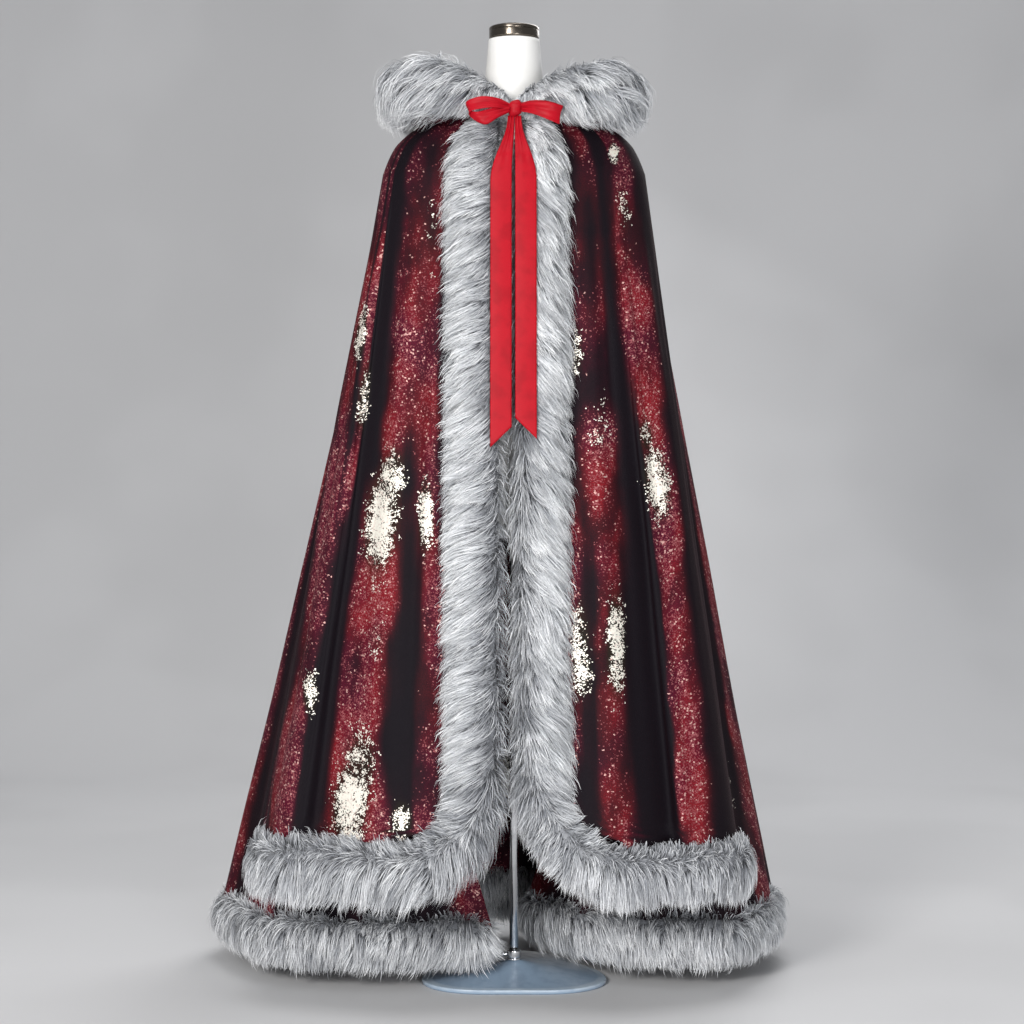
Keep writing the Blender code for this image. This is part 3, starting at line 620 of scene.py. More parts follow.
@dataclass(frozen=True)
class FurPile:
    """Long grey pile: dark at the roots, silver at the tips; the dark roots are partly the pile's own colour and
    partly painted shade deep in the pile.
    """

    name: str = "grey_fur"
    # root is partly the pile's own dark base and partly painted shade deep in the pile.
    root: Colour = (0.040, 0.041, 0.046)
    shade: Colour = (0.270, 0.280, 0.300)
    body: Colour = (0.670, 0.685, 0.710)
    tip: Colour = (0.960, 0.965, 0.970)
    dark_hair: Colour = (0.30, 0.31, 0.335)

    def material(self) -> Material:
        """The pile's nodes: along runs from 0 at a root to 1 at a tip, and tone is each hair's own random lightness
        with painted light and shade added.

        Returns:
            The material.
        """
        sheet = ShaderSheet(self.name)
        along = sheet.attribute("along")
        tone = sheet.attribute("tone")
        streaks = sheet.noise(sheet.object_place(), 300.0, 2.0)
        colour = sheet.blend(sheet.between(along, 0.05, 0.35), self.root, self.shade)
        colour = sheet.blend(sheet.between(along, 0.20, 0.60), colour, self.body)
        colour = sheet.blend(sheet.between(along, 0.50, 0.95), colour, self.tip)
        darker = sheet.blend(1.0, colour, self.dark_hair, "MULTIPLY")
        share = sheet.maths("MULTIPLY", tone, sheet.between(streaks, 0.25, 0.60, 0.75, 1.0))
        sheet.set("Base Color", sheet.blend(share, darker, colour))
        sheet.set("Roughness", 0.40)
        sheet.set("Specular IOR Level", 0.55)
        sheet.set("Sheen Weight", 0.10)
        sheet.bump(streaks, 0.0003, 0.4)
        return sheet.material


@dataclass(frozen=True)
class Satin:
    """Closely woven red ribbon with a soft gloss."""

    name: str = "red_satin"
    colour: Colour = (0.400, 0.0045, 0.0135)
    # fold is painted shade of folds, laid in slow random clouds, and also the dark of the threads.
    fold: Colour = (0.150, 0.0015, 0.0050)

    def material(self) -> Material:
        """The ribbon's nodes: threads across it, a woven edge, and slow clouds of painted fold shade."""
        sheet = ShaderSheet(self.name)
        place = sheet.cloth_map()
        slow = sheet.noise(place, 30.0, 2.0)
        threads = sheet.noise(sheet.stretched(place, (160.0, 2200.0, 1.0)), 1.0, 1.0)
        colour = sheet.blend(sheet.between(slow, 0.42, 0.70, 0.0, 0.30), self.colour, self.fold)
        sheet.set("Base Color", sheet.blend(sheet.between(threads, 0.3, 0.7, 0.0, 0.16), colour, self.fold))
        sheet.set("Roughness", 0.44)
        sheet.set("Specular IOR Level", 0.12)
        sheet.set("Sheen Weight", 0.02)
        sheet.set("Sheen Tint", (1.0, 0.15, 0.20))
        sheet.bump(threads, 0.00012, 0.7)
        return sheet.material


@dataclass(frozen=True)
class FormCover:
    """Matt white stretch cover of the dress form, a fine knit."""

    name: str = "form_cover"
    colour: Colour = (0.75, 0.745, 0.73)
    shade: Colour = (0.65, 0.63, 0.60)

    def material(self) -> Material:
        """The cover's nodes: knit ribs in the row frame and faint warm clouds."""
        sheet = ShaderSheet(self.name)
        place = sheet.object_place()
        clouds = sheet.noise(place, 14.0, 3.0)
        knit = sheet.noise(sheet.stretched(place, (1500.0, 1500.0, 700.0)), 1.0, 1.0)
        colour = sheet.blend(sheet.between(clouds, 0.45, 0.75, 0.0, 0.45), self.colour, self.shade)
        sheet.set("Base Color", sheet.blend(sheet.between(knit, 0.3, 0.7, 0.0, 0.18), colour, self.shade))
        sheet.set("Roughness", 0.78)
        sheet.set("Sheen Weight", 0.20)
        sheet.bump(knit, 0.0002, 0.6)
        return sheet.material


@dataclass(frozen=True)
class Metal:
    """Polished or dark metal with faint turning marks and smears."""

    name: str
    colour: Colour
    dull: Colour
    roughness: float
    smear: float = 0.16
    ring_marks: float = 900.0

    def material(self) -> Material:
        """The metal's nodes: turning marks along Z and smears that change its gloss."""
        sheet = ShaderSheet(self.name)
        place = sheet.object_place()
        smears = sheet.noise(place, 60.0, 3.0)
        rings = sheet.noise(sheet.stretched(place, (4.0, 4.0, self.ring_marks)), 1.0, 1.0)
        sheet.set("Base Color", sheet.blend(sheet.between(smears, 0.45, 0.75, 0.0, 0.6), self.colour, self.dull))
        sheet.set("Metallic", 1.0)
        sheet.set("Roughness", sheet.between(smears, 0.35, 0.75, self.roughness, self.roughness + self.smear))
        sheet.bump(rings, 0.00006, 0.5)
        return sheet.material


@dataclass(frozen=True)
class BasePaint:
    """Satin blue-grey paint, paler in a band at the rim's top edge."""

    name: str = "base_paint"
    colour: Colour = (0.240, 0.325, 0.430)
    rim_pale: Colour = (0.430, 0.510, 0.590)
    dusty: Colour = (0.170, 0.235, 0.320)

    def material(self) -> Material:
        """The paint's nodes: fine orange peel, dust, and a paler band where rub is high."""
        sheet = ShaderSheet(self.name)
        place = sheet.object_place()
        dust = sheet.noise(place, 45.0, 4.0)
        peel = sheet.noise(place, 700.0, 1.0)
        rub = sheet.attribute("rub")
        colour = sheet.blend(sheet.between(dust, 0.42, 0.72, 0.0, 0.55), self.colour, self.dusty)
        edge = sheet.maths("MULTIPLY", rub, sheet.between(dust, 0.30, 0.60, 0.45, 1.0))
        sheet.set("Base Color", sheet.blend(edge, colour, self.rim_pale))
        sheet.set("Roughness", sheet.between(dust, 0.35, 0.75, 0.30, 0.48))
        sheet.set("Coat Weight", 0.25)
        sheet.set("Coat Roughness", 0.20)
        sheet.bump(peel, 0.00008, 0.5)
        return sheet.material


@dataclass(frozen=True)
class StudioPaper:
    """Pale paper of the studio's floor and wall."""

    name: str = "studio_paper"
    colour: Colour = (0.60, 0.60, 0.61)

    def material(self) -> Material:
        """A plain matt finish with a trace of unevenness."""
        sheet = ShaderSheet(self.name)
        clouds = sheet.noise(sheet.object_place(), 1.2, 2.0)
        paler = tuple(channel * 1.06 for channel in self.colour)
        sheet.set("Base Color", sheet.blend(sheet.between(clouds, 0.4, 0.6, 0.0, 1.0), self.colour, paler))
        sheet.set("Roughness", 0.85)
        return sheet.material


class Wardrobe:
    """Every finish of the object, made once."""

    def __init__(self) -> None:
        """Make the materials."""
        self.velvet = FoiledVelvet().material()
        self.fur = FurPile().material()
        self.satin = Satin().material()
        self.cover = FormCover().material()
        self.dark_chrome = Metal("dark_chrome", (0.17, 0.145, 0.12), (0.09, 0.08, 0.07), 0.16).material()
        self.chrome = Metal("chrome", (0.72, 0.73, 0.75), (0.55, 0.56, 0.58), 0.12).material()
        self.paint = BasePaint().material()


# --- The form's and the cloth's base surfaces ---


@dataclass(frozen=True)
class FormRing:
    """Size of the dress form at one height."""

    z: float
    half_width: float
    front: float
    back: float


@dataclass(frozen=True)
class Ease:
    """How far the cloth's middle stands off the form at one height."""

    z: float
    side: float
    front: float
    back: float


FORM_RINGS = (
    FormRing(0.800, 0.150, 0.095, 0.110),
    FormRing(0.880, 0.172, 0.105, 0.125),
    FormRing(0.990, 0.150, 0.096, 0.104),
    FormRing(1.100, 0.125, 0.085, 0.085),
    FormRing(1.200, 0.140, 0.098, 0.090),
    FormRing(1.300, 0.160, 0.112, 0.100),
    FormRing(1.420, 0.178, 0.104, 0.104),
    FormRing(1.495, 0.188, 0.088, 0.096),
    FormRing(1.525, 0.174, 0.077, 0.085),
    FormRing(1.548, 0.135, 0.066, 0.073),
    FormRing(1.566, 0.088, 0.059, 0.063),
    FormRing(1.588, 0.057, 0.054, 0.056),
    FormRing(1.630, 0.0515, 0.0515, 0.0515),
    FormRing(NECK_TOP_Z, 0.046, 0.046, 0.046),
)
CLOTH_EASE = (
    Ease(SHOULDER_Z, 0.052, 0.024, 0.032),
    Ease(1.480, 0.036, 0.016, 0.020),
    Ease(1.505, 0.022, 0.010, 0.012),
    Ease(1.530, 0.010, 0.006, 0.006),
    Ease(1.548, 0.0050, 0.0045, 0.0045),
    Ease(1.566, 0.0045, 0.0040, 0.0040),
    Ease(NECK_EDGE_Z, 0.0045, 0.0035, 0.0035),
)


def column(table: tuple, label: str) -> Array:
    """One named column of a table of rows."""
    return np.array([getattr(row, label) for row in table], dtype=float)


def ring_point(angle: Array, z: Array, half_width: Array, front: Array, back: Array) -> Array:
    """Point of a ring made of two half ellipses that meet at the sides.

    x is the half width times the sine of the angle, and y is minus the front or back depth
    times its cosine.

    Args:
        angle: degrees round from the front.
        z: height.
        half_width: half of the ring's width.
        front: depth of its front half.
        back: depth of its back half.

    Returns:
        The points.
    """
    turn = np.radians(angle)
    depth = np.where(np.cos(turn) > 0, front, back)
    parts = np.broadcast_arrays(half_width * np.sin(turn), -depth * np.cos(turn), z)
    return np.stack(parts, axis=-1).astype(float)


def form_ring(angle: Array, z: Array) -> Array:
    """Point of the dress form at an angle and a height."""
    heights = column(FORM_RINGS, "z")
    sizes = [smooth_steps(heights, column(FORM_RINGS, name), z) for name in ("half_width", "front", "back")]
    return ring_point(angle, z, *sizes)


def cloth_ring(angle: Array, z: Array) -> Array:
    """Middle of the cloth where it lies round the form: the form's ring plus the ease."""
    form_heights, ease_heights = column(FORM_RINGS, "z"), column(CLOTH_EASE, "z")
    pairs = (("half_width", "side"), ("front", "front"), ("back", "back"))
    sizes = [
        smooth_steps(form_heights, column(FORM_RINGS, form), z)
        + smooth_steps(ease_heights, column(CLOTH_EASE, loose), z)
        for form, loose in pairs
    ]
    return ring_point(angle, z, *sizes)


def hanging_point(angle: Array, hem_x: Array, hem_y: Array, z: Array, hem_z: float) -> Array:
    """Point of cloth that follows the form to the shoulder level and then hangs straight.

    Below the shoulder level it lies on the straight line from the shoulder ring's point to
    the hem's point, at the share of the drop that the height gives.

    Args:
        angle: degrees round the shoulder ring.
        hem_x: the hem's place in plan.
        hem_y: the hem's place in plan.
        z: height.
        hem_z: height of the hem.

    Returns:
        The points.
    """
    above = cloth_ring(angle, np.maximum(z, SHOULDER_Z))
    fall = (SHOULDER_Z - np.minimum(z, SHOULDER_Z)) / (SHOULDER_Z - hem_z)
    hem = np.stack(np.broadcast_arrays(hem_x, hem_y, z), axis=-1)
    point = above + (hem - above) * fall[..., None]
    point[..., 2] = z
    return point


@dataclass(frozen=True)
class Fold:
    """A fold's angle at the shoulder ring and its place in the hem."""

    name: str
    angle: float
    hem_side: float
    hem_front: float


@dataclass(frozen=True)
class Crease:
    """A soft ridge, or a trough where lift is negative, that runs down the cloth.

    Its place is counted in folds, at its top and at its bottom, and it fades out at both.
    """

    top_place: float
    bottom_place: float
    width: float
    lift: float
    top: float
    bottom: float


@dataclass(frozen=True)
class Patch:
    """A patch, used for foil and for painted shade and painted light, by its middle, its half sizes and its lean, in
    the view from the front.
    """

    x: float
    z: float
    half_width: float
    half_height: float
    strength: float = 1.0
    lean: float = 0.0


def seen_patch(
    across: float, down: float, half_width: float, half_height: float, strength: float = 1.0, lean: float = 0.0
) -> Patch:
    """A patch placed by its middle and half sizes in the view from the front, in pixels.

    Args:
        across: the middle's column.
        down: the middle's row.
        half_width: half of its width.
        half_height: half of its height.
        strength: how much foil, painted shade and painted light its middle has, as the patch is used.
        lean: how far it leans to the right for each metre up.

    Returns:
        The patch in metres, on a plane FRONT_DISTANCE from the camera.
    """
    scale = FRONT_DISTANCE / PIXELS_A_METRE
    x, z = (across - MIDDLE_COLUMN) * scale, EYE_Z - (down - EYE_ROW) * scale
    return Patch(x, z, half_width * scale, half_height * scale, strength, lean)


def patch_share(points: Array, patches: tuple[Patch, ...]) -> Array:
    """How much of the patches each point has, for foil and for painted shade and painted light: the highest of the
    patches' bell shapes there.

    Args:
        points: places, xyz last.
        patches: the patches, placed by x and z.

    Returns:
        Shares from 0 to 1.
    """
    share = np.zeros(points.shape[:-1])
    for patch in patches:
        across = points[..., 0] - patch.x - patch.lean * (points[..., 2] - patch.z)
        far = (across / patch.half_width) ** 2 + ((points[..., 2] - patch.z) / patch.half_height) ** 2
        share = np.maximum(share, patch.strength * np.exp(-0.7 * far))
    return share


@dataclass(frozen=True)
class Band:
    """How much painted light the nap has at one place across the cloth, from 0 for painted shade to 1 for lit red.
    """

    place: float
    glow: float


LEFT_FOLDS = (
    Fold("front edge", 1.8, 0.0075, 0.245),
    Fold("fur line", 29.0, 0.127, 0.252),
    Fold("front roll", 40.0, 0.195, 0.262),
    Fold("hollow", 52.0, 0.285, 0.225),
    Fold("valley", 62.0, 0.354, 0.178),
    Fold("side ridge", 66.5, 0.386, 0.200),
    Fold("side roll", 76.0, 0.434, 0.165),
    Fold("side", 86.0, 0.454, 0.104),
    Fold("seam", 95.2, 0.4262, 0.0370),
)
RIGHT_FOLDS = (
    Fold("front edge", -1.6, -0.0065, 0.245),
    Fold("fur line", 22.0, 0.102, 0.252),
    Fold("front roll", 30.0, 0.165, 0.258),
    Fold("hollow", 38.0, 0.232, 0.228),
    Fold("valley", 45.0, 0.278, 0.186),
    Fold("side ridge", 48.5, 0.304, 0.212),
    Fold("side roll", 66.0, 0.358, 0.188),
    Fold("side", 84.0, 0.402, 0.126),
    Fold("seam", 95.2, 0.4035, 0.0335),
)
LEFT_CREASES = (
    Crease(1.25, 1.45, 0.30, 0.0040, 1.40, 0.30),
    Crease(1.85, 1.95, 0.22, -0.0060, 1.42, 0.28),
    Crease(2.60, 2.45, 0.35, 0.0050, 1.30, 0.24),
    Crease(3.10, 3.25, 0.20, -0.0045, 1.38, 0.50),
    Crease(4.35, 4.40, 0.16, 0.0035, 1.44, 0.60),
    Crease(4.80, 5.00, 0.14, -0.0060, 1.44, 0.20),
    Crease(5.30, 5.60, 0.20, 0.0050, 1.43, 0.22),
    Crease(6.10, 6.40, 0.22, -0.0050, 1.42, 0.30),
    Crease(7.10, 7.20, 0.28, 0.0045, 1.35, 0.20),
)
RIGHT_CREASES = (
    Crease(1.35, 1.40, 0.25, -0.0045, 1.40, 0.30),
    Crease(2.20, 2.30, 0.35, 0.0050, 1.38, 0.26),
    Crease(3.00, 3.05, 0.22, -0.0040, 1.30, 0.45),
    Crease(4.60, 4.75, 0.22, 0.0040, 1.42, 0.25),
    Crease(5.30, 5.45, 0.18, -0.0055, 1.42, 0.22),
    Crease(6.00, 6.30, 0.25, 0.0045, 1.40, 0.30),
    Crease(7.00, 7.10, 0.28, -0.0045, 1.36, 0.24),
)
# Painted light of the nap across each front: a band's glow is 0 for painted shade and 1 for lit red. FRONT_SHADES
# are patches of painted shade, and FRONT_PAINTED_LIGHTS patches of painted light.
LEFT_BANDS = (
    Band(0.0, 0.30), Band(1.0, 0.25), Band(1.30, 0.80), Band(1.55, 0.80), Band(1.90, 0.62), Band(2.40, 0.92),
    Band(2.90, 0.80), Band(3.25, 0.25), Band(3.50, 0.05), Band(4.35, 0.04), Band(4.60, 0.70), Band(5.10, 0.80),
    Band(5.35, 0.12), Band(5.60, 0.85), Band(6.30, 0.80), Band(7.00, 0.35), Band(8.0, 0.10),
)
LEFT_LOW_BANDS = (
    Band(0.0, 0.30), Band(1.0, 0.55), Band(1.25, 0.85), Band(1.50, 0.75), Band(1.75, 0.15), Band(2.15, 0.15),
    Band(2.40, 0.70), Band(2.70, 0.92), Band(3.30, 0.90), Band(3.60, 0.70), Band(3.85, 0.12), Band(4.50, 0.02),
    Band(5.05, 0.06), Band(5.30, 0.75), Band(5.80, 0.85), Band(6.40, 0.70), Band(6.90, 0.25), Band(8.0, 0.06),
)
FRONT_SHADES = (
    seen_patch(407, 470, 6, 60, 0.80, 0.05),
    seen_patch(409, 560, 8, 60, 0.80),
    seen_patch(398, 735, 13, 40, 0.80),
    seen_patch(432, 225, 7, 30, 0.70),
    seen_patch(424, 180, 14, 60, 0.50),
    seen_patch(592, 250, 13, 110, 0.85),
    seen_patch(590, 590, 10, 30, 0.55),
    seen_patch(600, 720, 12, 50, 0.55),
    seen_patch(640, 720, 18, 90, 0.80, -0.10),
    seen_patch(580, 780, 12, 40, 0.70),
)
RIGHT_BANDS = (
    Band(0.0, 0.20), Band(1.0, 0.18), Band(1.35, 0.50), Band(1.90, 0.88), Band(2.70, 0.85), Band(3.05, 0.30),
    Band(3.4, 0.06), Band(4.80, 0.02), Band(5.00, 0.80), Band(5.25, 1.00), Band(5.65, 0.95), Band(5.95, 0.40),
    Band(6.30, 0.06), Band(7.0, 0.0), Band(8.0, 0.0),
)
RIGHT_LOW_BANDS = (
    Band(0.0, 0.30), Band(0.7, 0.60), Band(1.10, 0.75), Band(1.40, 0.20), Band(1.75, 0.18), Band(2.00, 0.80),
    Band(2.5, 0.88), Band(2.80, 0.22), Band(3.50, 0.04), Band(4.80, 0.02), Band(4.98, 0.75), Band(5.40, 0.90),
    Band(5.75, 0.50), Band(6.15, 0.10), Band(7.00, 0.0), Band(8.00, 0.0),
)
FRONT_PAINTED_LIGHTS = (
    seen_patch(623, 215, 9, 62, 1.00, -0.09),
    seen_patch(633, 320, 9, 70, 0.90, -0.11),
    seen_patch(650, 400, 8, 60, 0.80, -0.13),
)
FRONT_PATCHES = (
    seen_patch(381, 522, 13, 40, 1.20, 0.10),
    seen_patch(391, 478, 11, 24, 0.85, 0.10),
    seen_patch(426, 515, 6, 30, 1.00),
    seen_patch(357, 330, 5, 22, 0.90, 0.12),
    seen_patch(361, 398, 5, 30, 0.70, 0.12),
    seen_patch(352, 802, 14, 34, 1.15, 0.08),
    seen_patch(362, 758, 15, 24, 0.70),
    seen_patch(404, 815, 8, 15, 0.95),
    seen_patch(309, 694, 6, 16, 0.85),
    seen_patch(378, 640, 12, 22, 0.34),
    seen_patch(430, 240, 8, 50, 0.22),
    seen_patch(659, 484, 10, 28, 1.15, -0.10),
    seen_patch(648, 434, 6, 14, 0.80),
    seen_patch(615, 646, 7, 40, 1.05),
    seen_patch(578, 640, 9, 34, 0.70),
    seen_patch(579, 668, 9, 20, 0.90),
    seen_patch(576, 350, 6, 24, 0.60),
    seen_patch(616, 145, 4, 9, 1.10),
    seen_patch(627, 205, 6, 26, 0.36, -0.09),
    seen_patch(600, 430, 10, 40, 0.30),
)


@dataclass
class FrontPanel:
    """The surface of one front, from its edge at the middle to its side seam."""

    side: int
    folds: tuple[Fold, ...]
    strip_width: float
    corner_radius: float
    strip_end: float
    creases: tuple[Crease, ...]
    bands: tuple[Band, ...]
    low_bands: tuple[Band, ...]
    rows: int = 112
    columns: int = 60
    low_bands_z: tuple[float, float] = (0.95, 0.70)
    top_shade: float = 0.20
    waviness: Ripple = Ripple(0.0022, 1.4, 5.0, 11, 9.0)
    wander: Ripple = Ripple(0.16, 0.7, 4.0, 21)
    ragged: Ripple = Ripple(0.10, 2.5, 13.0, 41)
    mottle: Ripple = Ripple(0.30, 0.9, 6.5, 31)

    def __post_init__(self) -> None:
        """Measure the cloth across itself at many heights, for place_at."""
        self.places = np.arange(len(self.folds), dtype=float)
        self.levels = np.linspace(FRONT_HEM_Z - 0.02, NECK_EDGE_Z, 130)
        self.fine_places = np.linspace(0, self.places[-1], 161)
        lines = self.point(self.fine_places[None, :], self.levels[:, None])
        steps = np.linalg.norm(np.diff(lines, axis=1), axis=-1)
        self.across = np.concatenate([np.zeros((len(self.levels), 1)), np.cumsum(steps, axis=1)], axis=1)

    def point(self, place: Array, z: Array) -> Array:
        """Point at a place counted in folds from the front edge, and at a height."""
        place, z = np.broadcast_arrays(np.asarray(place, float), np.asarray(z, float))
        angle = smooth_steps(self.places, column(self.folds, "angle"), place)
        hem_places = np.stack([column(self.folds, "hem_side"), column(self.folds, "hem_front")], axis=1)
        hem = smooth_path(hem_places, place)
        point = hanging_point(angle, hem[..., 0], -hem[..., 1], z, FRONT_HEM_Z)
        point[..., 0] *= self.side
        return point

    def level_at(self, z: Array) -> tuple[Array, Array]:
        """The measured level under each height, and how far on the height is to the next."""
        level = np.interp(z, self.levels, np.arange(len(self.levels)))
        level = np.clip(level, 0, len(self.levels) - 1.001)
        return np.floor(level).astype(int), level % 1

    def across_at(self, place: Array, z: Array) -> Array:
        """Distance from the front edge, measured on the cloth, of a place at a height."""
        step = np.clip(place / self.fine_places[1], 0, len(self.fine_places) - 1.001)
        row, part_row = self.level_at(z)
        col, part_col = np.floor(step).astype(int), step % 1
        upper = self.across[row, col] * (1 - part_col) + self.across[row, col + 1] * part_col
        lower = self.across[row + 1, col] * (1 - part_col) + self.across[row + 1, col + 1] * part_col
        return upper * (1 - part_row) + lower * part_row

    def place_at(self, across: Array, z: Array) -> Array:
        """Place whose distance from the front edge, measured on the cloth, is across.

        Args:
            across: wanted distances.
            z: the height of each.

        Returns:
            Places counted in folds.
        """
        across, z = np.broadcast_arrays(np.asarray(across, float), np.asarray(z, float))
        row, part = self.level_at(z)
        part = part[..., None]
        table = self.across[row] * (1 - part) + self.across[row + 1] * part
        after = np.clip((table < across[..., None]).sum(axis=-1), 1, table.shape[-1] - 1)
        low = np.take_along_axis(table, after[..., None] - 1, axis=-1)[..., 0]
        high = np.take_along_axis(table, after[..., None], axis=-1)[..., 0]
        share = np.clip((across - low) / np.maximum(high - low, 1e-9), 0, 1)
        return self.fine_places[after - 1] * (1 - share) + self.fine_places[after] * share

    def outward(self, place: Array, z: Array, span: float) -> Array:
        """Unit vector that points out of the cloth, evened out over a span of places."""
        last = self.places[-1]
        across = self.point(np.minimum(place + span, last), z) - self.point(np.maximum(place - span, 0.0), z)
        up = self.point(place, z + STEP) - self.point(place, z - STEP)
        return unit(np.cross(across, up) * self.side)

    def strip_reach(self, z: Array) -> Array:
        """Width of the fur down the front edge, which narrows towards the neck."""
        fur_line = self.place_at(self.strip_width, SHOULDER_Z)
        near_neck = self.across_at(np.full(np.shape(z), float(fur_line)), z)
        return np.where(np.asarray(z) <= SHOULDER_Z, self.strip_width, near_neck)

    @property
    def turn_radius(self) -> float:
        """Radius at which the fur's middle line turns from the front edge into the hem."""
        return self.corner_radius + self.strip_width / 2

    @property
    def turn_z(self) -> float:
        """Height at which that turn starts."""
        return FRONT_HEM_Z + self.strip_width / 2 + self.turn_radius

    def cloth_start(self, z: Array) -> Array:
        """Distance from the front edge at which the cloth begins, a little under the fur."""
        below = np.maximum(self.turn_z - z, 0.0)
        inner = self.strip_width / 2 + self.turn_radius
        turned_edge = inner - np.sqrt(np.maximum(self.corner_radius**2 - below**2, 0.0))
        edge = np.where(z > SHOULDER_Z, self.strip_reach(z), turned_edge)
        return np.maximum(edge - np.where(z > SHOULDER_Z, 0.004, UNDER_FUR), 0.0)

    def crease_lift(self, place: Array, z: Array) -> Array:
        """Height of the creases over the base surface: a sum of bells that fade at both ends."""
        lift = np.zeros(np.shape(place))
        for crease in self.creases:
            fall = (crease.top - z) / (crease.top - crease.bottom)
            middle = crease.top_place + (crease.bottom_place - crease.top_place) * fall
            fade = ease(0.0, 0.18, fall) * (1 - 0.75 * ease(0.70, 1.15, fall))
            width = crease.width * (0.75 + 0.5 * np.clip(fall, 0, 1))
            lift += crease.lift * bump_at(place, middle, width) * fade
        return lift

    def cloth(self) -> Shape:
        """The panel's cloth: base surface, creases and a slow waviness, with its painted light and shade and its
        foil.

        Returns:
            The open sheet, with its faces outwards.
        """
        heights = falling_heights(FRONT_HEM_Z + self.strip_width - UNDER_FUR, 20, self.rows)
        z = heights[:, None] + np.zeros((1, self.columns))
        start = self.place_at(self.cloth_start(heights), heights)[:, None]
        place = start + (self.places[-1] - start) * np.linspace(0, 1, self.columns)[None, :]
        below_shoulder = 1 - ease(1.28, 1.44, z)
        off_seam = ease(0.0, 0.5, self.places[-1] - place)
        slow = self.waviness.at(place, z, self.side) * below_shoulder
        lift = (self.crease_lift(place, z) + slow) * off_seam
        grid = self.point(place, z) + self.outward(place, z, 0.25) * lift[..., None]
        uv = np.stack([self.across_at(place, z) + 3.0 * (self.side > 0), z], axis=-1)
        shape = grid_shape(grid, flip=self.side < 0, uv=uv)
        # Painted light and shade of the nap: the bands across the cloth, shifted by slow fields and varied at
        # random, darkened by the patches of painted shade and towards the top, and lifted by the patches of painted
        # light.
        wander = place + self.wander.at(place, z, self.side) * below_shoulder
        wander = wander + self.ragged.at(place, z, self.side) * below_shoulder
        upper, lower = (
            smooth_steps(column(bands, "place"), column(bands, "glow"), wander)
            for bands in (self.bands, self.low_bands)
        )
        glow = upper + (lower - upper) * ease(*self.low_bands_z, z)
        glow = glow * (0.85 + self.mottle.at(place, z, self.side))
        glow = glow * (1 - patch_share(grid, FRONT_SHADES)) * (1 - self.top_shade * ease(1.15, 1.45, z))
        glow = np.maximum(glow, patch_share(grid, FRONT_PAINTED_LIGHTS))
        shape.values["glow"] = np.clip(glow, 0.0, 1.0)
        shape.values["foil"] = patch_share(grid, FRONT_PATCHES)
        return shape

    def fur_rings(self, count: int, sides: int) -> Array:
        """Sections of the fur down the front edge, round the corner and along the hem.

        A section is an ellipse square to the fur's middle line: its cosine runs across the
        strip, from its free edge at 0 degrees to the cloth at 180, and its sine out of it.

        Args:
            count: sections along the fur.
            sides: points in each section.

        Returns:
            The sections, evenly spaced.
        """
        half = self.strip_width / 2
        centre = half + self.turn_radius
        upright_z = np.linspace(STRIP_TOP_Z, self.turn_z, 100)[:-1]
        upright = np.stack([self.strip_reach(upright_z) / 2, upright_z, 0 * upright_z], axis=1)
        turns = np.linspace(0, math.pi / 2, 36)
        corner_across = centre - self.turn_radius * np.cos(turns)
        corner = np.stack([corner_across, self.turn_z - self.turn_radius * np.sin(turns), turns], axis=1)
        hem_across = np.linspace(centre, self.strip_end, 60)[1:]
        hem = np.stack([hem_across, np.full(59, FRONT_HEM_Z + half), np.full(59, math.pi / 2)], axis=1)
        path = np.vstack([upright, corner, hem])
        along = lengths_along(path[:, :2])
        wanted = np.linspace(0, along[-1], count)
        across, z, turn = (np.interp(wanted, along, path[:, axis])[:, None] for axis in range(3))
        sweep = np.linspace(0, 2 * math.pi, sides, endpoint=False)[None, :]
        offset = self.strip_reach(z) / 2 * np.cos(sweep)
        inward = STRIP_INWARD * np.interp(z, (1.20, SHOULDER_Z, STRIP_TOP_Z), (1.0, 0.5, 0.16))
        out = np.sin(sweep) * np.where(np.sin(sweep) > 0, STRIP_OUTWARD, inward)
        ring_across = np.maximum(across - offset * np.cos(turn), 0.0)
        ring_z = z - offset * np.sin(turn)
        place = self.place_at(ring_across, ring_z)
        return self.point(place, ring_z) + out[..., None] * self.outward(place, ring_z, 0.9)


def evened(folds: tuple[Fold, ...]) -> tuple[Fold, ...]:
    """The folds with their sharp valley filled, as thick fur bridges it."""
    rows = list(folds)
    for index, fold in enumerate(folds):
        if fold.name == "valley":
            before, after = folds[index - 1], folds[index + 1]
            share = (fold.hem_side - before.hem_side) / (after.hem_side - before.hem_side)
            bridged = before.hem_front + share * (after.hem_front - before.hem_front)
            rows[index] = Fold(fold.name, fold.angle, fold.hem_side, bridged)
    return tuple(rows)


class Side(Enum):
    """The two fronts, as someone who looks at the front sees them."""

    LEFT = -1
    RIGHT = 1

    def panel(self, for_fur: bool = False) -> FrontPanel:
        """The front panel's surface on this side; the fur's own has its valley filled."""
        if self is Side.LEFT:
            folds, sizes = LEFT_FOLDS, {"strip_width": 0.116, "corner_radius": 0.070, "strip_end": 0.525}
            looks = {"creases": LEFT_CREASES, "bands": LEFT_BANDS, "low_bands": LEFT_LOW_BANDS}
        else:
            folds, sizes = RIGHT_FOLDS, {"strip_width": 0.106, "corner_radius": 0.100, "strip_end": 0.470}
            looks = {"creases": RIGHT_CREASES, "bands": RIGHT_BANDS, "low_bands": RIGHT_LOW_BANDS}
        return FrontPanel(self.value, evened(folds) if for_fur else folds, **sizes, **looks)


@dataclass(frozen=True)
class HemPlace:
    """A place of the long hem in plan, and its angle at the shoulder ring where it has one."""

    x: float
    y: float
    angle: float = 0.0


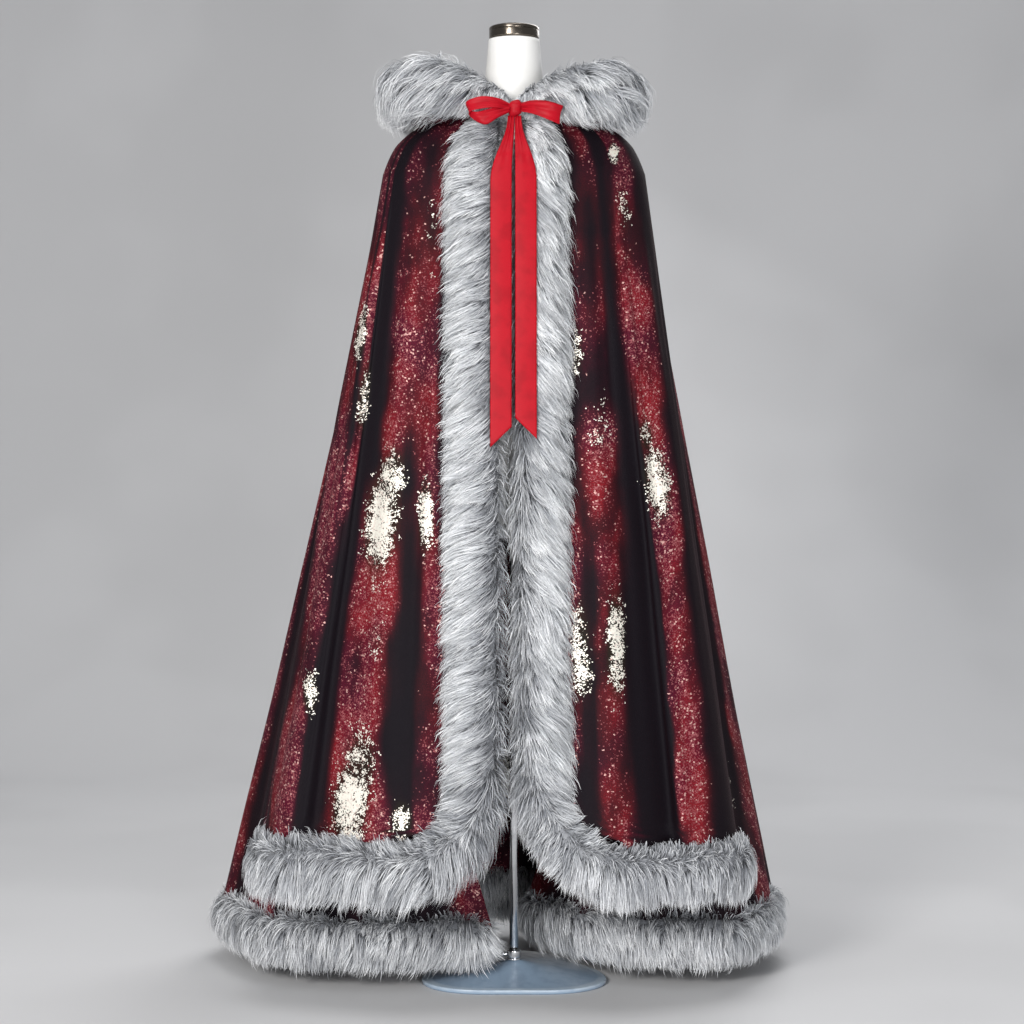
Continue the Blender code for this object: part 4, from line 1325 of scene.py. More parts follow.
LEFT_GORE = (
    HemPlace(-0.050, -0.050),
    HemPlace(-0.190, -0.070),
    HemPlace(-0.320, -0.070),
    HemPlace(-0.425, -0.0355, 264.5),
)
BACK_HEM = (
    HemPlace(-0.425, -0.0355, 264.5),
    HemPlace(-0.500, 0.090, 254.0),
    HemPlace(-0.532, 0.200, 243.0),
    HemPlace(-0.490, 0.305, 226.0),
    HemPlace(-0.320, 0.372, 206.0),
    HemPlace(0.000, 0.372, 180.0),
    HemPlace(0.300, 0.362, 154.0),
    HemPlace(0.440, 0.290, 134.0),
    HemPlace(0.480, 0.195, 117.0),
    HemPlace(0.452, 0.080, 106.0),
    HemPlace(0.402, -0.032, 95.5),
)
RIGHT_GORE = (
    HemPlace(0.402, -0.032, 95.5),
    HemPlace(0.310, -0.052),
    HemPlace(0.165, -0.006),
    HemPlace(0.068, 0.095),
    HemPlace(0.034, 0.170),
)
BACK_PATCHES = (
    Patch(-0.13, 1.05, 0.030, 0.085, 1.05, 0.10),
    Patch(-0.08, 0.92, 0.022, 0.050, 0.75),
    Patch(0.16, 0.62, 0.032, 0.090, 1.10, -0.08),
    Patch(0.10, 0.50, 0.022, 0.045, 0.70),
    Patch(-0.30, 0.40, 0.030, 0.070, 0.95, 0.12),
    Patch(0.27, 1.02, 0.018, 0.060, 0.85, -0.10),
    Patch(-0.02, 0.30, 0.028, 0.060, 0.95),
    Patch(0.36, 0.33, 0.024, 0.060, 0.90, -0.10),
    Patch(-0.33, 0.72, 0.020, 0.070, 0.85),
    Patch(-0.22, 1.28, 0.016, 0.040, 0.80),
    Patch(0.08, 1.12, 0.014, 0.040, 0.60),
)


def plan(places: tuple[HemPlace, ...]) -> Array:
    """Points in plan of one stretch of the long hem."""
    return np.stack([column(places, "x"), column(places, "y")], axis=1)


@dataclass
class BackPanel:
    """The long back, which hangs in soft pleats that open towards the hem."""

    pleats: int = 7
    pleat_depth: float = 0.014
    ridge_height: float = 0.0045
    columns: int = 200
    rows: int = 68
    ridge_drift: Ripple = Ripple(1.2, 9, 0, 5)
    waviness: Ripple = Ripple(0.0030, 26, 4.0, 6)
    crest_drift: Ripple = Ripple(0.25, 12, 5, 8)
    mottle: Ripple = Ripple(0.45, 16, 6, 9)

    def hem_points(self, share: Array) -> Array:
        """Plan of the hem at shares of its length: its smooth line plus a wave square to it."""
        line_points = plan(BACK_HEM)
        places = share * (len(BACK_HEM) - 1)
        line = smooth_path(line_points, places)
        ahead = smooth_path(line_points, np.minimum(places + 0.01, len(BACK_HEM) - 1))
        behind = smooth_path(line_points, np.maximum(places - 0.01, 0))
        wave = self.pleat_depth * np.sin(2 * math.pi * self.pleats * share) * np.sin(math.pi * share) ** 0.5
        return line + outward_in_plan(ahead - behind)[..., :2] * wave[..., None]

    def cloth(self) -> Shape:
        """The back's cloth.

        Small ridges ride on the pleats: a wave of twice their number that grows downwards and a slow random field.
        The nap has painted light, red, on the crests and painted shade, near black, between them.

        Returns:
            The open sheet, with its faces outwards.
        """
        share = np.linspace(0, 1, self.columns)[None, :]
        places = share[0] * (len(BACK_HEM) - 1)
        angle = smooth_steps(np.arange(len(BACK_HEM)), column(BACK_HEM, "angle"), places)
        hem = self.hem_points(share)
        z = falling_heights(LONG_CLOTH_END_Z - LONG_TUCK, 16, self.rows)[:, None] + 0 * share
        base = hanging_point(angle[None, :], hem[..., 0], hem[..., 1], z, LONG_CLOTH_END_Z)
        grown = np.clip((SHOULDER_Z - z) / (SHOULDER_Z - LONG_CLOTH_END_Z), 0, 1)
        inside = np.sin(math.pi * share) ** 0.5
        phase = 2 * math.pi * self.pleats * share
        ridges = self.ridge_height * np.sin(2 * phase + 1.1 + self.ridge_drift.at(share, share)) * grown
        slow = self.waviness.at(share, z) * ease(0.0, 0.35, grown)
        outward = outward_in_plan(np.gradient(base, axis=1))
        grid = base + outward * ((ridges + slow) * inside)[..., None]
        widths = lengths_along(base[-1])[None, :]
        uv = np.stack([widths * (0.45 + 0.55 * grown) + 6.0, z], axis=-1)
        shape = grid_shape(grid, uv=uv)
        crest = 0.5 + 0.5 * np.sin(phase + self.crest_drift.at(share, z))
        glow = 0.10 + 0.78 * ease(0.28, 0.80, crest) * (0.78 + self.mottle.at(share, z))
        shape.values["glow"] = np.clip(glow, 0, 1)
        shape.values["foil"] = patch_share(grid, BACK_PATCHES)
        return shape


@dataclass
class Gore:
    """An insert that widens from a point on the side seam down to the long hem."""

    places: tuple[HemPlace, ...]
    seam_first: bool
    seam_gap: float = 0.0018
    waves: float = 3.5
    wave_start: float = 0.6
    wave_height: float = 0.0065
    map_width: float = 0.42
    columns: int = 48
    rows: int = 46

    def cloth(self) -> Shape:
        """The insert's cloth: the seam's point at a height plus the hem's line times the widening.

        Returns:
            The open sheet, with its faces outwards.
        """
        seam = self.places[0] if self.seam_first else self.places[-1]
        line = even_path(plan(self.places), self.columns)
        heights = np.linspace(GORE_TOP_Z, LONG_CLOTH_END_Z - LONG_TUCK, self.rows)
        widening = (GORE_POINT_Z - heights) / (GORE_POINT_Z - LONG_CLOTH_END_Z)
        top = hanging_point(np.full(self.rows, seam.angle), seam.x, seam.y, heights, LONG_CLOTH_END_Z)
        grid = np.empty((self.rows, self.columns, 3))
        grid[..., :2] = top[:, None, :2] + (line - np.array([seam.x, seam.y]))[None] * widening[:, None, None]
        grid[..., 2] = heights[:, None]
        edge, inner = (0, 1) if self.seam_first else (-1, -2)
        grid[:, edge] += unit(grid[:, inner] - grid[:, edge]) * self.seam_gap
        share = np.linspace(0, 1, self.columns)[None, :]
        wave = np.sin(2 * math.pi * self.waves * share + self.wave_start)
        lift = self.wave_height * wave * widening[:, None] * np.sin(math.pi * share) ** 0.7
        grid += outward_in_plan(np.gradient(grid, axis=1)) * lift[..., None]
        map_u = share * self.map_width * widening[:, None] + 9.0 + 2.0 * self.seam_first
        shape = grid_shape(grid, uv=np.stack([map_u, grid[..., 2]], axis=-1))
        # Painted light on the wave's crests with painted shade between them, darker away from the inner end and lit
        # near it.
        crest = 0.5 + 0.5 * wave + 0 * grid[..., 2]
        from_inner = 1 - share if self.seam_first else share
        glow = (0.10 + 0.30 * crest) * (0.5 + 0.5 * ease(0.3, 0.0, from_inner))
        shape.values["glow"] = glow + 0.55 * ease(0.25, 0.05, from_inner)
        shape.values["foil"] = 0.0 * grid[..., 0]
        return shape


# --- The cloak's cloth ---


@dataclass
class CloakCloth:
    """The fronts, the back and the inserts."""

    wardrobe: Wardrobe

    def build(self) -> dict[str, Piece]:
        """Make every piece of cloth.

        Returns:
            The pieces by node.
        """
        shapes = {
            "front_left": Side.LEFT.panel().cloth(),
            "front_right": Side.RIGHT.panel().cloth(),
            "back": BackPanel().cloth(),
            "gore_left": Gore(LEFT_GORE, seam_first=False).cloth(),
            "gore_right": Gore(RIGHT_GORE, seam_first=True).cloth(),
        }
        velvet = self.wardrobe.velvet
        return {
            node: shape.stand_for(node, "cloth_" + node, velvet, "velvet", CLOTH)
            for node, shape in shapes.items()
        }


# --- The hood ---


@dataclass(frozen=True)
class RollPlace:
    """A place and a radius of the fur on the hood's edge."""

    x: float
    y: float
    z: float
    radius: float


@dataclass(frozen=True)
class BagPlace:
    """How deep a place of the hood's bag lies, and how far it stands off the cloak."""

    drop: float
    room: float


HOOD_ROLL = (
    RollPlace(0.013, -0.1020, 1.565, 0.022),
    RollPlace(0.055, -0.0990, 1.580, 0.033),
    RollPlace(0.105, -0.1030, 1.593, 0.049),
    RollPlace(0.158, -0.0860, 1.606, 0.060),
    RollPlace(0.182, -0.0250, 1.609, 0.060),
    RollPlace(0.178, 0.0560, 1.601, 0.055),
    RollPlace(0.140, 0.1370, 1.574, 0.053),
    RollPlace(0.070, 0.1880, 1.545, 0.051),
    RollPlace(0.000, 0.2050, 1.536, 0.050),
)
HOOD_BAG = (BagPlace(0.12, 0.010), BagPlace(0.70, 0.014), BagPlace(1.00, 0.045), BagPlace(0.66, 0.088))
HOOD_PATCHES = (Patch(-0.04, 1.36, 0.020, 0.050, 0.9), Patch(0.06, 1.42, 0.014, 0.030, 0.8))


@dataclass
class Hood:
    """The hood, lying open on the shoulders and the upper back."""

    wardrobe: Wardrobe
    back_depth: float = 0.300
    least_depth: float = 0.060
    pointedness: float = 1.1
    half_turn: float = 128.0
    half_spread: float = 40.0
    bag_edge: float = 4.0
    last_rise: float = 0.006
    lift: float = 0.0042
    least_room: float = 0.006
    back_flare: float = 2.8
    wave_height: float = 0.0045
    flat_width: float = 0.90
    flat_length: float = 0.62
    waviness: Ripple = Ripple(0.0030, 9, 4, 3)
    mottle: Ripple = Ripple(0.40, 7, 5, 4, 4)
    columns: int = 110
    rows: int = 44

    def roll_line(self, count: int) -> Array:
        """Middle points and radii of the fur, from the right of the bow round to its left."""
        right = np.array([(place.x, place.y, place.z, place.radius) for place in HOOD_ROLL])
        left = right[-2::-1] * (-1, 1, 1, 1)
        return even_path(np.vstack([right, left]), count)

    def fur_rings(self, count: int, sides: int) -> Array:
        """Round sections square to the roll's line: 0 degrees is outwards and 90 is up.

        Args:
            count: sections along the fur.
            sides: points in each section.

        Returns:
            The sections.
        """
        line = self.roll_line(count)
        along = unit(np.gradient(line[:, :3], axis=0))
        outward = unit(np.cross(along, (0, 0, 1)))
        up = np.cross(outward, along)
        sweep = np.linspace(0, 2 * math.pi, sides, endpoint=False)
        across = np.cos(sweep)[None, :, None] * outward[:, None, :]
        rise = np.sin(sweep)[None, :, None] * up[:, None, :]
        return line[:, None, :3] + (across + rise) * line[:, None, 3:]

    def cloak_reach(self, angle: Array, z: Array, room: float) -> Array:
        """Distances from the pole's axis that leave room outside the cloak."""
        hem = cloth_ring(angle, SHOULDER_Z) * self.back_flare
        level = np.minimum(z, NECK_EDGE_Z)
        surface = hanging_point(angle, hem[..., 0], hem[..., 1], level, LONG_CLOTH_END_Z)
        return np.linalg.norm(surface[..., :2], axis=-1) + room

    def cloak_height(self, angle: Array, reach: Array) -> Array:
        """Heights of the cloak's shoulder at distances from the pole's axis, one for each angle."""
        heights = np.linspace(NECK_EDGE_Z, SHOULDER_Z, 60)
        surface = np.linalg.norm(cloth_ring(angle[:, None], heights[None, :])[..., :2], axis=-1)
        return read_lines(reach[:, None], surface, np.broadcast_to(heights, surface.shape))[:, 0]

    def lines(self, under: Array) -> tuple[Array, Array]:
        """The hood's lines, each from the neck seam over the back to the fur above it.

        Round the back a line goes down behind the cloak, turns at the bag's bottom and comes
        up to the fur. Round the sides it lies on the shoulder. Between them the two are mixed
        by a bell of the turn from the back.

        Args:
            under: the fur's underside where each line ends.

        Returns:
            The lines' points as lines, rows, xyz, and how far each one is part of the bag.
        """
        turn = np.degrees(np.arctan2(under[:, 0], under[:, 1]))
        angle = 180 - turn
        outward = ring_point(angle, 0.0, 1.0, 1.0, 1.0)
        bag = np.exp(-np.abs(turn / self.half_spread) ** self.bag_edge)
        seam = cloth_ring(angle, np.full(len(angle), NECK_EDGE_Z)) + (0, 0, CLOTH)
        rise = seam + outward * 0.004 + (0, 0, 0.010)
        depth = self.back_depth * np.cos(np.radians(turn * self.pointedness)) ** 2 + self.least_depth
        path = [rise]
        for place, share in zip(HOOD_BAG, (0.25, 0.5, 0.7, 0.85)):
            z = NECK_EDGE_Z - depth * place.drop
            behind = outward * self.cloak_reach(angle, z, place.room)[:, None]
            behind[:, 2] = z
            on_top = rise + (under - rise) * share
            on_top[:, 2] = self.cloak_height(angle, np.linalg.norm(on_top[:, :2], axis=1)) + self.lift
            path.append(behind * bag[:, None] + on_top * (1 - bag[:, None]))
        path += [under - (0, 0, self.last_rise), under + (0, 0, 0.008)]
        last, fine = len(path) - 1, 240
        dense = smooth_path(np.array(path).reshape(last + 1, -1), np.linspace(0, last, fine)).reshape(fine, -1, 3)
        along = lengths_along(dense).T
        wanted = along[:, -1:] * np.linspace(0, 1, self.rows)
        line = np.stack([read_lines(wanted, along, dense[..., axis].T) for axis in range(3)], axis=-1)
        reach = np.linalg.norm(line[..., :2], axis=-1)
        least = self.cloak_reach(angle[:, None], line[..., 2], self.least_room)
        inside = (line[..., 2] < NECK_EDGE_Z) & (reach < least) & (np.arange(self.rows) > 1)
        line[..., :2] *= np.where(inside, least / reach, 1.0)[..., None]
        return np.concatenate([seam[:, None], line], axis=1), bag

    def cloth(self) -> Shape:
        """The hood's cloth: a line down for each place of the fur's underside.

        Soft creases run down the bag: a wave round it that is strongest at its bottom.

        Returns:
            The open sheet, with its faces outwards.
        """
        rings = self.fur_rings(180, 12)
        underside = rings[:, 9] - (0, 0, 0.0013)
        turns = np.degrees(np.arctan2(underside[:, 0], underside[:, 1]))
        kept = underside[np.abs(turns) <= self.half_turn]
        wanted = np.linspace(0, len(kept) - 1, self.columns)
        kept = np.stack([np.interp(wanted, np.arange(len(kept)), kept[:, axis]) for axis in range(3)], 1)
        lines, bags = self.lines(kept)
        grid = lines.transpose(1, 0, 2)
        bag = bags[None, :]
        along = unit(np.gradient(grid, axis=0))
        across = unit(np.gradient(grid, axis=1))
        outward = unit(np.cross(across, along))
        down = np.linspace(0, 1, grid.shape[0])[:, None]
        share = np.linspace(-1, 1, self.columns)[None, :]
        strength = bag * ease(0.35, 0.60, down) * (1 - ease(0.88, 1.0, down))
        wave = self.wave_height * np.sin(share * 19 + 3 * down) + self.waviness.at(share, down)
        grid = grid + outward * (wave * strength)[..., None]
        uv = np.stack([share * self.flat_width / 2 + 13.0 + 0 * down, down * self.flat_length + 0 * share], axis=-1)
        shape = grid_shape(grid, flip=True, uv=uv)
        # Painted light of the nap: lighter in the bag at the back, with painted shade on the shoulders under the
        # fur.
        glow = (0.42 + self.mottle.at(share, down)) * (0.35 + 0.65 * bag)
        shape.values["glow"] = np.clip(glow, 0.04, 1.0)
        shape.values["foil"] = patch_share(grid, HOOD_PATCHES) * (grid[..., 1] > 0.1)
        return shape

    def build(self) -> Piece:
        """Make the hood's cloth in place of its solid."""
        return self.cloth().stand_for("hood", "cloth_hood", self.wardrobe.velvet, "velvet", CLOTH)


# --- The fur ---


@dataclass(frozen=True)
class Trim:
    """Longer or shorter hair whose tips lie near one place and one sweep of an edging."""

    place: float
    stretch: float
    sweep: float
    breadth: float
    reach: float
    droop: float = 0.0

    def at(self, share: Array, tips: Array) -> Array:
        """How much of it each hair gets, from 0 to 1."""
        away = (tips - self.sweep + 180) % 360 - 180
        return bump_at(share, self.place, self.stretch) * bump_at(away, 0.0, self.breadth)


@dataclass(frozen=True)
class Comb:
    """How the pile of an edging lies.

    Hairs part at the spine, a sweep in degrees, and swing away from it round the section.
    They run along the edging too. Each pair goes from the edging's start to its end, and
    changes between the two shares of its length in change. Low and high are the sweeps that
    tips stay between, and hidden is the side where the pile is thinner.
    """

    spine: tuple[float, float]
    swing: tuple[float, float]
    run: tuple[float, float]
    droop: tuple[float, float] = (0.006, 0.006)
    change: tuple[float, float] = (0.0, 1.0)
    low: float = -400.0
    high: float = 760.0
    hidden: tuple[float, float] = (200.0, 340.0)
    # painted_shine is painted light on hairs that lie away from the spine, with painted shade near it.
    painted_shine: float = 0.10
    # tone is the edging's base lightness; a lower one paints shade on it, as on the hood.
    tone: float = 0.70
    hidden_share: float = 0.35
    trims: tuple[Trim, ...] = ()

    def read(self, pair: tuple[float, float], share: Array) -> Array:
        """One pair's value at shares of the edging's length."""
        return pair[0] + (pair[1] - pair[0]) * ease(*self.change, share)


@dataclass(frozen=True)
class HairKind:
    """One kind of hair: its share of the pile, its places, width, reach and brightness."""

    share: float
    stages: tuple[float, ...]
    width: float
    reach: float
    spread: float
    strays: float
    brightness: float


HAIR_KINDS = (
    HairKind(0.36, (0.0, 0.38, 0.72, 1.0), 0.0013, 1.02, 0.055, 0.14, 1.0),
    HairKind(0.64, (0.0, 0.50, 1.0), 0.0012, 0.93, 0.070, 0.03, 0.90),
)
HOOD_RIGHT_TRIMS = (
    Trim(0.40, 0.22, 80, 50, -0.30),
    Trim(0.42, 0.20, 15, 36, -0.24),
    Trim(0.28, 0.20, 308, 30, 0.26, 0.014),
)
HOOD_LEFT_TRIMS = (
    Trim(0.60, 0.22, 45, 42, -0.42),
    Trim(0.60, 0.22, 85, 30, -0.10),
    Trim(0.66, 0.20, 316, 34, 0.28, 0.016),
)
FRONT_LIE = {"droop": (0.007, 0.012), "change": (0.60, 0.80), "painted_shine": 0.34}
HEM_LIE = {"swing": (42, 42), "droop": (0.008, 0.008), "hidden": (150.0, 260.0), "hidden_share": 0.55}
HOOD_LIE = {"swing": (36, 36), "droop": (0.009, 0.009), "hidden": (200.0, 285.0), "hidden_share": 0.45}
COMBS = {
    "fur_front_left": Comb((22, 118), (58, 44), (0.020, 0.020), low=4.0, high=172.0, **FRONT_LIE),
    "fur_front_right": Comb(
        (336, 242), (36, 46), (0.034, 0.004), low=188.0, high=356.0, hidden=(20.0, 160.0), **FRONT_LIE
    ),
    "fur_hem_left": Comb((64, 72), run=(0.012, 0.0), **HEM_LIE),
    "fur_hem_right": Comb((72, 64), run=(0.0, -0.012), **HEM_LIE),
    # The hood's sides have a lower tone: painted shade, deepest on its right.
    "fur_hood_right": Comb((128, 110), run=(0.026, 0.0), tone=0.50, trims=HOOD_RIGHT_TRIMS, **HOOD_LIE),
    "fur_hood_left": Comb((110, 128), run=(0.0, -0.026), tone=0.66, trims=HOOD_LEFT_TRIMS, **HOOD_LIE),
}
LOCK_ROWS, LOCK_COLUMNS = 97, 89


@dataclass
class FurEdging:
    """One roll of fur: a dark undercoat, and hairs that grow from it in locks."""

    name: str
    rings: Array
    comb: Comb
    hairs: int
    seed: int
    material: Material
    end_caps: tuple[bool, bool] = (True, True)
    hold: Callable[[Array], Array] | None = None
    wild: float = 1.15
    lock_size: float = 0.016
    lock_pull: float = 0.42
    lump_size: float = 0.02
    root_share: float = 0.58
    least_reach: float = 0.64
    most_reach: float = 1.30
    overhang: float = 0.010
    cap_length: float = 0.042
    end_fan: float = 0.034
    end_stretch: float = 0.08
    wave_sway: tuple[float, float] = (0.010, 0.012)
    lock_sway: float = 0.008
    lock_reach: float = 0.065
    wave_reach: float = 0.045
    stray_reach: tuple[float, float] = (0.04, 0.20)
    loose_tips: float = 0.0036
    wobble: float = 0.0014
    lock_tone: float = 0.24
    band_tone: float = 0.24
    wave_tone: float = 0.15
    tone_spread: float = 0.14

    def __post_init__(self) -> None:
        """Space the sections evenly and round off the ends that are free."""
        rings = self.rings
        centres = rings.mean(axis=1)
        if self.end_caps[0]:
            back = unit(centres[0] - centres[1]) * self.overhang
            rings = np.concatenate([rings[:1] + back, rings])
        if self.end_caps[1]:
            ahead = unit(centres[-1] - centres[-2]) * self.overhang
            rings = np.concatenate([rings, rings[-1:] + ahead])
        centres = rings.mean(axis=1)
        along = lengths_along(centres)
        self.length = float(along[-1])
        count = len(rings)
        wanted = np.interp(np.linspace(0, self.length, count), along, np.arange(count))
        low = np.clip(np.floor(wanted).astype(int), 0, count - 2)
        part = (wanted - low)[:, None, None]
        rings = rings[low] * (1 - part) + rings[low + 1] * part
        self.centres = rings.mean(axis=1)
        self.offsets = rings - self.centres[:, None, :]
        self.tangents = unit(np.gradient(self.centres, axis=0))
        steps = np.linalg.norm(self.offsets - np.roll(self.offsets, 1, axis=1), axis=-1)
        self.girth = float(steps.sum(axis=1).mean())
        self.step_share = steps.mean(axis=0) / steps.mean(axis=0).sum()

    def cap_size(self, distance: Array) -> Array:
        """Size of the section at a distance along: a quarter circle near each free end."""
        size = np.ones(np.shape(distance))
        for free, left in zip(self.end_caps, (distance, self.length - distance)):
            if free:
                size = size * np.sqrt(1 - (1 - np.clip(left / self.cap_length, 0, 1)) ** 2)
        return size

    def at(self, distance: Array, sweep: Array, reach: Array) -> tuple[Array, Array]:
        """Point at a distance along, a sweep in degrees and a share of the way out.

        Past a free end the roll's line goes on straight.

        Args:
            distance: metres along the roll.
            sweep: degrees round its section.
            reach: share of the way from its middle to its surface.

        Returns:
            The points, and the unit vectors that point out of the roll there.
        """
        rows, sides = self.offsets.shape[:2]
        station = np.clip(distance / self.length, 0, 1) * (rows - 1)
        row = np.clip(np.floor(station).astype(int), 0, rows - 2)
        part = (station - row)[..., None]
        turn = (sweep / 360.0 * sides) % sides
        col = np.floor(turn).astype(int) % sides
        beside = (col + 1) % sides
        spin = (turn - np.floor(turn))[..., None]
        near = self.offsets[row, col] * (1 - spin) + self.offsets[row, beside] * spin
        far = self.offsets[row + 1, col] * (1 - spin) + self.offsets[row + 1, beside] * spin
        offset = near * (1 - part) + far * part
        centre = self.centres[row] * (1 - part) + self.centres[row + 1] * part
        beyond = distance - np.clip(distance, 0, self.length)
        centre = centre + self.tangents[row] * beyond[..., None]
        return centre + offset * reach[..., None], unit(offset)

    def undercoat(self) -> Shape:
        """The surface under the hairs: the roll at the roots' share, with small lumps."""
        rows, sides = 150, 20
        distance = np.linspace(0, self.length, rows)[:, None] + np.zeros((1, sides))
        sweep = np.linspace(0, 360, sides, endpoint=False)[None, :] + np.zeros((rows, 1))
        around = sweep / 360 * self.girth
        lumps = soft_noise(distance / self.lump_size, around / self.lump_size, self.seed + 1)
        reach = (self.root_share + 0.04 + 0.05 * lumps) * np.maximum(self.cap_size(distance), 0.02)
        points, _ = self.at(distance, sweep, reach)
        shape = closed_shape(points)
        # The undercoat takes the dark root end of the ramp: painted shade deep in the pile.
        shape.values["along"] = np.full(len(shape.points), 0.30)
        shape.values["tone"] = np.full(len(shape.points), 0.45)
        return shape

    def locks(self, along: Array, around: Array) -> tuple[Array, Array, Array]:
        """The nearest lock of each hair, among the jittered middles of a grid of cells.

        Args:
            along: metres along the roll.
            around: metres round it.

        Returns:
            The offsets to the lock's middle along and around, and a whole number for each lock.
        """
        jitter = np.random.default_rng(self.seed + 2).uniform(0.05, 0.95, (LOCK_ROWS, LOCK_COLUMNS, 2))
        cell_u = np.floor(along / self.lock_size).astype(int)
        cell_v = np.floor(around / self.lock_size).astype(int)
        best = np.full(along.shape, np.inf)
        to_u, to_v, label = np.zeros(along.shape), np.zeros(along.shape), np.zeros(along.shape, int)
        for step_u in (-1, 0, 1):
            for step_v in (-1, 0, 1):
                here_u, here_v = cell_u + step_u, cell_v + step_v
                row, col = here_u % LOCK_ROWS, here_v % LOCK_COLUMNS
                shift = jitter[row, col]
                gap_u = (here_u + shift[..., 0]) * self.lock_size - along
                gap_v = (here_v + shift[..., 1]) * self.lock_size - around
                far = gap_u**2 + gap_v**2
                nearer = far < best
                best = np.where(nearer, far, best)
                to_u, to_v = np.where(nearer, gap_u, to_u), np.where(nearer, gap_v, to_v)
                label = np.where(nearer, row * LOCK_COLUMNS + col, label)
        return to_u, to_v, label

    def roots(self, count: int, generator: np.random.Generator) -> tuple[Array, Array]:
        """Random roots, even over the surface and thinner on its hidden side.

        Args:
            count: how many.
            generator: the source of the random numbers.

        Returns:
            Distances along and sweeps in degrees.
        """
        sides = len(self.step_share)
        middles = np.arange(sides) * 360.0 / sides
        low, high = self.comb.hidden
        hidden = ((middles - low) % 360) < (high - low)
        weights = self.step_share * np.where(hidden, self.comb.hidden_share, 1.0)
        edges = np.concatenate([[0], np.cumsum(weights / weights.sum())])
        sweep = np.interp(generator.uniform(0, 1, count), edges, np.arange(sides + 1) * 360.0 / sides)
        return generator.uniform(0, self.length, count), sweep

    def hair_points(self, kind: HairKind, count: int, generator: np.random.Generator) -> tuple[Array, Array, Array]:
        """Middle lines of the hairs of one kind.

        A hair leaves its root and bends over. Its tip moves round the section away from the
        spine, along the roll by the comb's run, by slow random fields, towards the middle of
        its lock, and down by the droop. Each part grows with a power of the place on the hair,
        so hairs rise first and then lie over. A few strays reach further out.

        Args:
            kind: the kind of hair.
            count: how many.
            generator: the source of the random numbers.

        Returns:
            The lines' points as hairs, places, xyz, the outward vectors there, and the tones with their painted
            light and shade.
        """
        comb = self.comb
        distance, sweep = self.roots(count, generator)
        around = sweep / 360 * self.girth
        to_u, to_v, label = self.locks(distance, around)
        lock = np.random.default_rng(self.seed + 3).uniform(-1, 1, (LOCK_ROWS * LOCK_COLUMNS, 5))[label]
        share = distance / self.length
        from_spine = (sweep - comb.read(comb.spine, share) + 180) % 360 - 180
        fall_off = np.clip(1.25 - np.abs(from_spine) / 230, 0.3, 1)
        swing = comb.read(comb.swing, share) * np.tanh(from_spine / 24.0) * fall_off
        run = comb.read(comb.run, share)
        run = run - self.end_fan * (1 - ease(0.0, self.end_stretch, distance)) * self.end_caps[0]
        run = run + self.end_fan * (1 - ease(0.0, self.end_stretch, self.length - distance)) * self.end_caps[1]
        wave_u = soft_noise(distance / 0.045, around / 0.045, self.seed + 4)
        wave_v = soft_noise(distance / 0.050 + 7, around / 0.050, self.seed + 5)
        bands = soft_noise(distance / 0.110 + 3, around / 0.070, self.seed + 6)
        loose = generator.normal(0, self.loose_tips, (2, count))
        sway_u = self.wave_sway[0] * wave_u + self.lock_sway * lock[:, 0]
        sway_v = self.wave_sway[1] * wave_v + self.lock_sway * lock[:, 1]
        shift_u = run + self.wild * sway_u + self.lock_pull * to_u + loose[0]
        shift_v = self.wild * sway_v + self.lock_pull * to_v + loose[1]
        turn = swing + shift_v / self.girth * 360
        uneven = self.wild * (self.lock_reach * lock[:, 2] + self.wave_reach * wave_u)
        reach = kind.reach + uneven + generator.normal(0, kind.spread, count)
        stray = generator.uniform(0, 1, count) < kind.strays
        reach = np.where(stray, reach + generator.uniform(*self.stray_reach, count), reach)
        droop = comb.read(comb.droop, share) * (1 + 0.5 * lock[:, 3])
        for trim in comb.trims:
            amount = trim.at(share, sweep + turn)
            reach = reach + trim.reach * amount
            droop = droop + trim.droop * amount
        reach = np.clip(reach, self.least_reach, self.most_reach)
        cap = np.maximum(self.cap_size(distance), 0.12)[:, None]
        root = self.root_share * (0.96 + 0.08 * generator.uniform(0, 1, count))
        stages = np.array(kind.stages)[None, :]
        bend, rise = stages**1.35, 1 - (1 - stages) ** 1.7
        sweeps = sweep[:, None] + turn[:, None] * bend
        free = (sweep[:, None] > comb.low) & (sweep[:, None] < comb.high)
        sweeps = np.where(free, np.clip(sweeps, comb.low, comb.high), sweeps)
        distances = distance[:, None] + shift_u[:, None] * bend
        points, outward = self.at(distances, sweeps, (root[:, None] + (reach - root)[:, None] * rise) * cap)
        points = points + generator.normal(0, 1, (count, 1, 3)) * (self.wobble * stages[..., None] ** 2)
        points[..., 2] -= droop[:, None] * stages**2
        if self.hold is not None:
            points = self.hold(points)
        # Painted light on hairs that lie far from the spine and painted shade on those near it.
        lay_light = comb.painted_shine * (ease(20, 95, np.abs(from_spine)) - 0.45)
        own = generator.normal(0, self.tone_spread, count)
        tone = comb.tone + lay_light + self.lock_tone * self.wild * lock[:, 4]
        tone = tone + self.band_tone * bands + self.wave_tone * wave_v + own
        return points, outward, np.clip(tone, 0.05, 1.0)

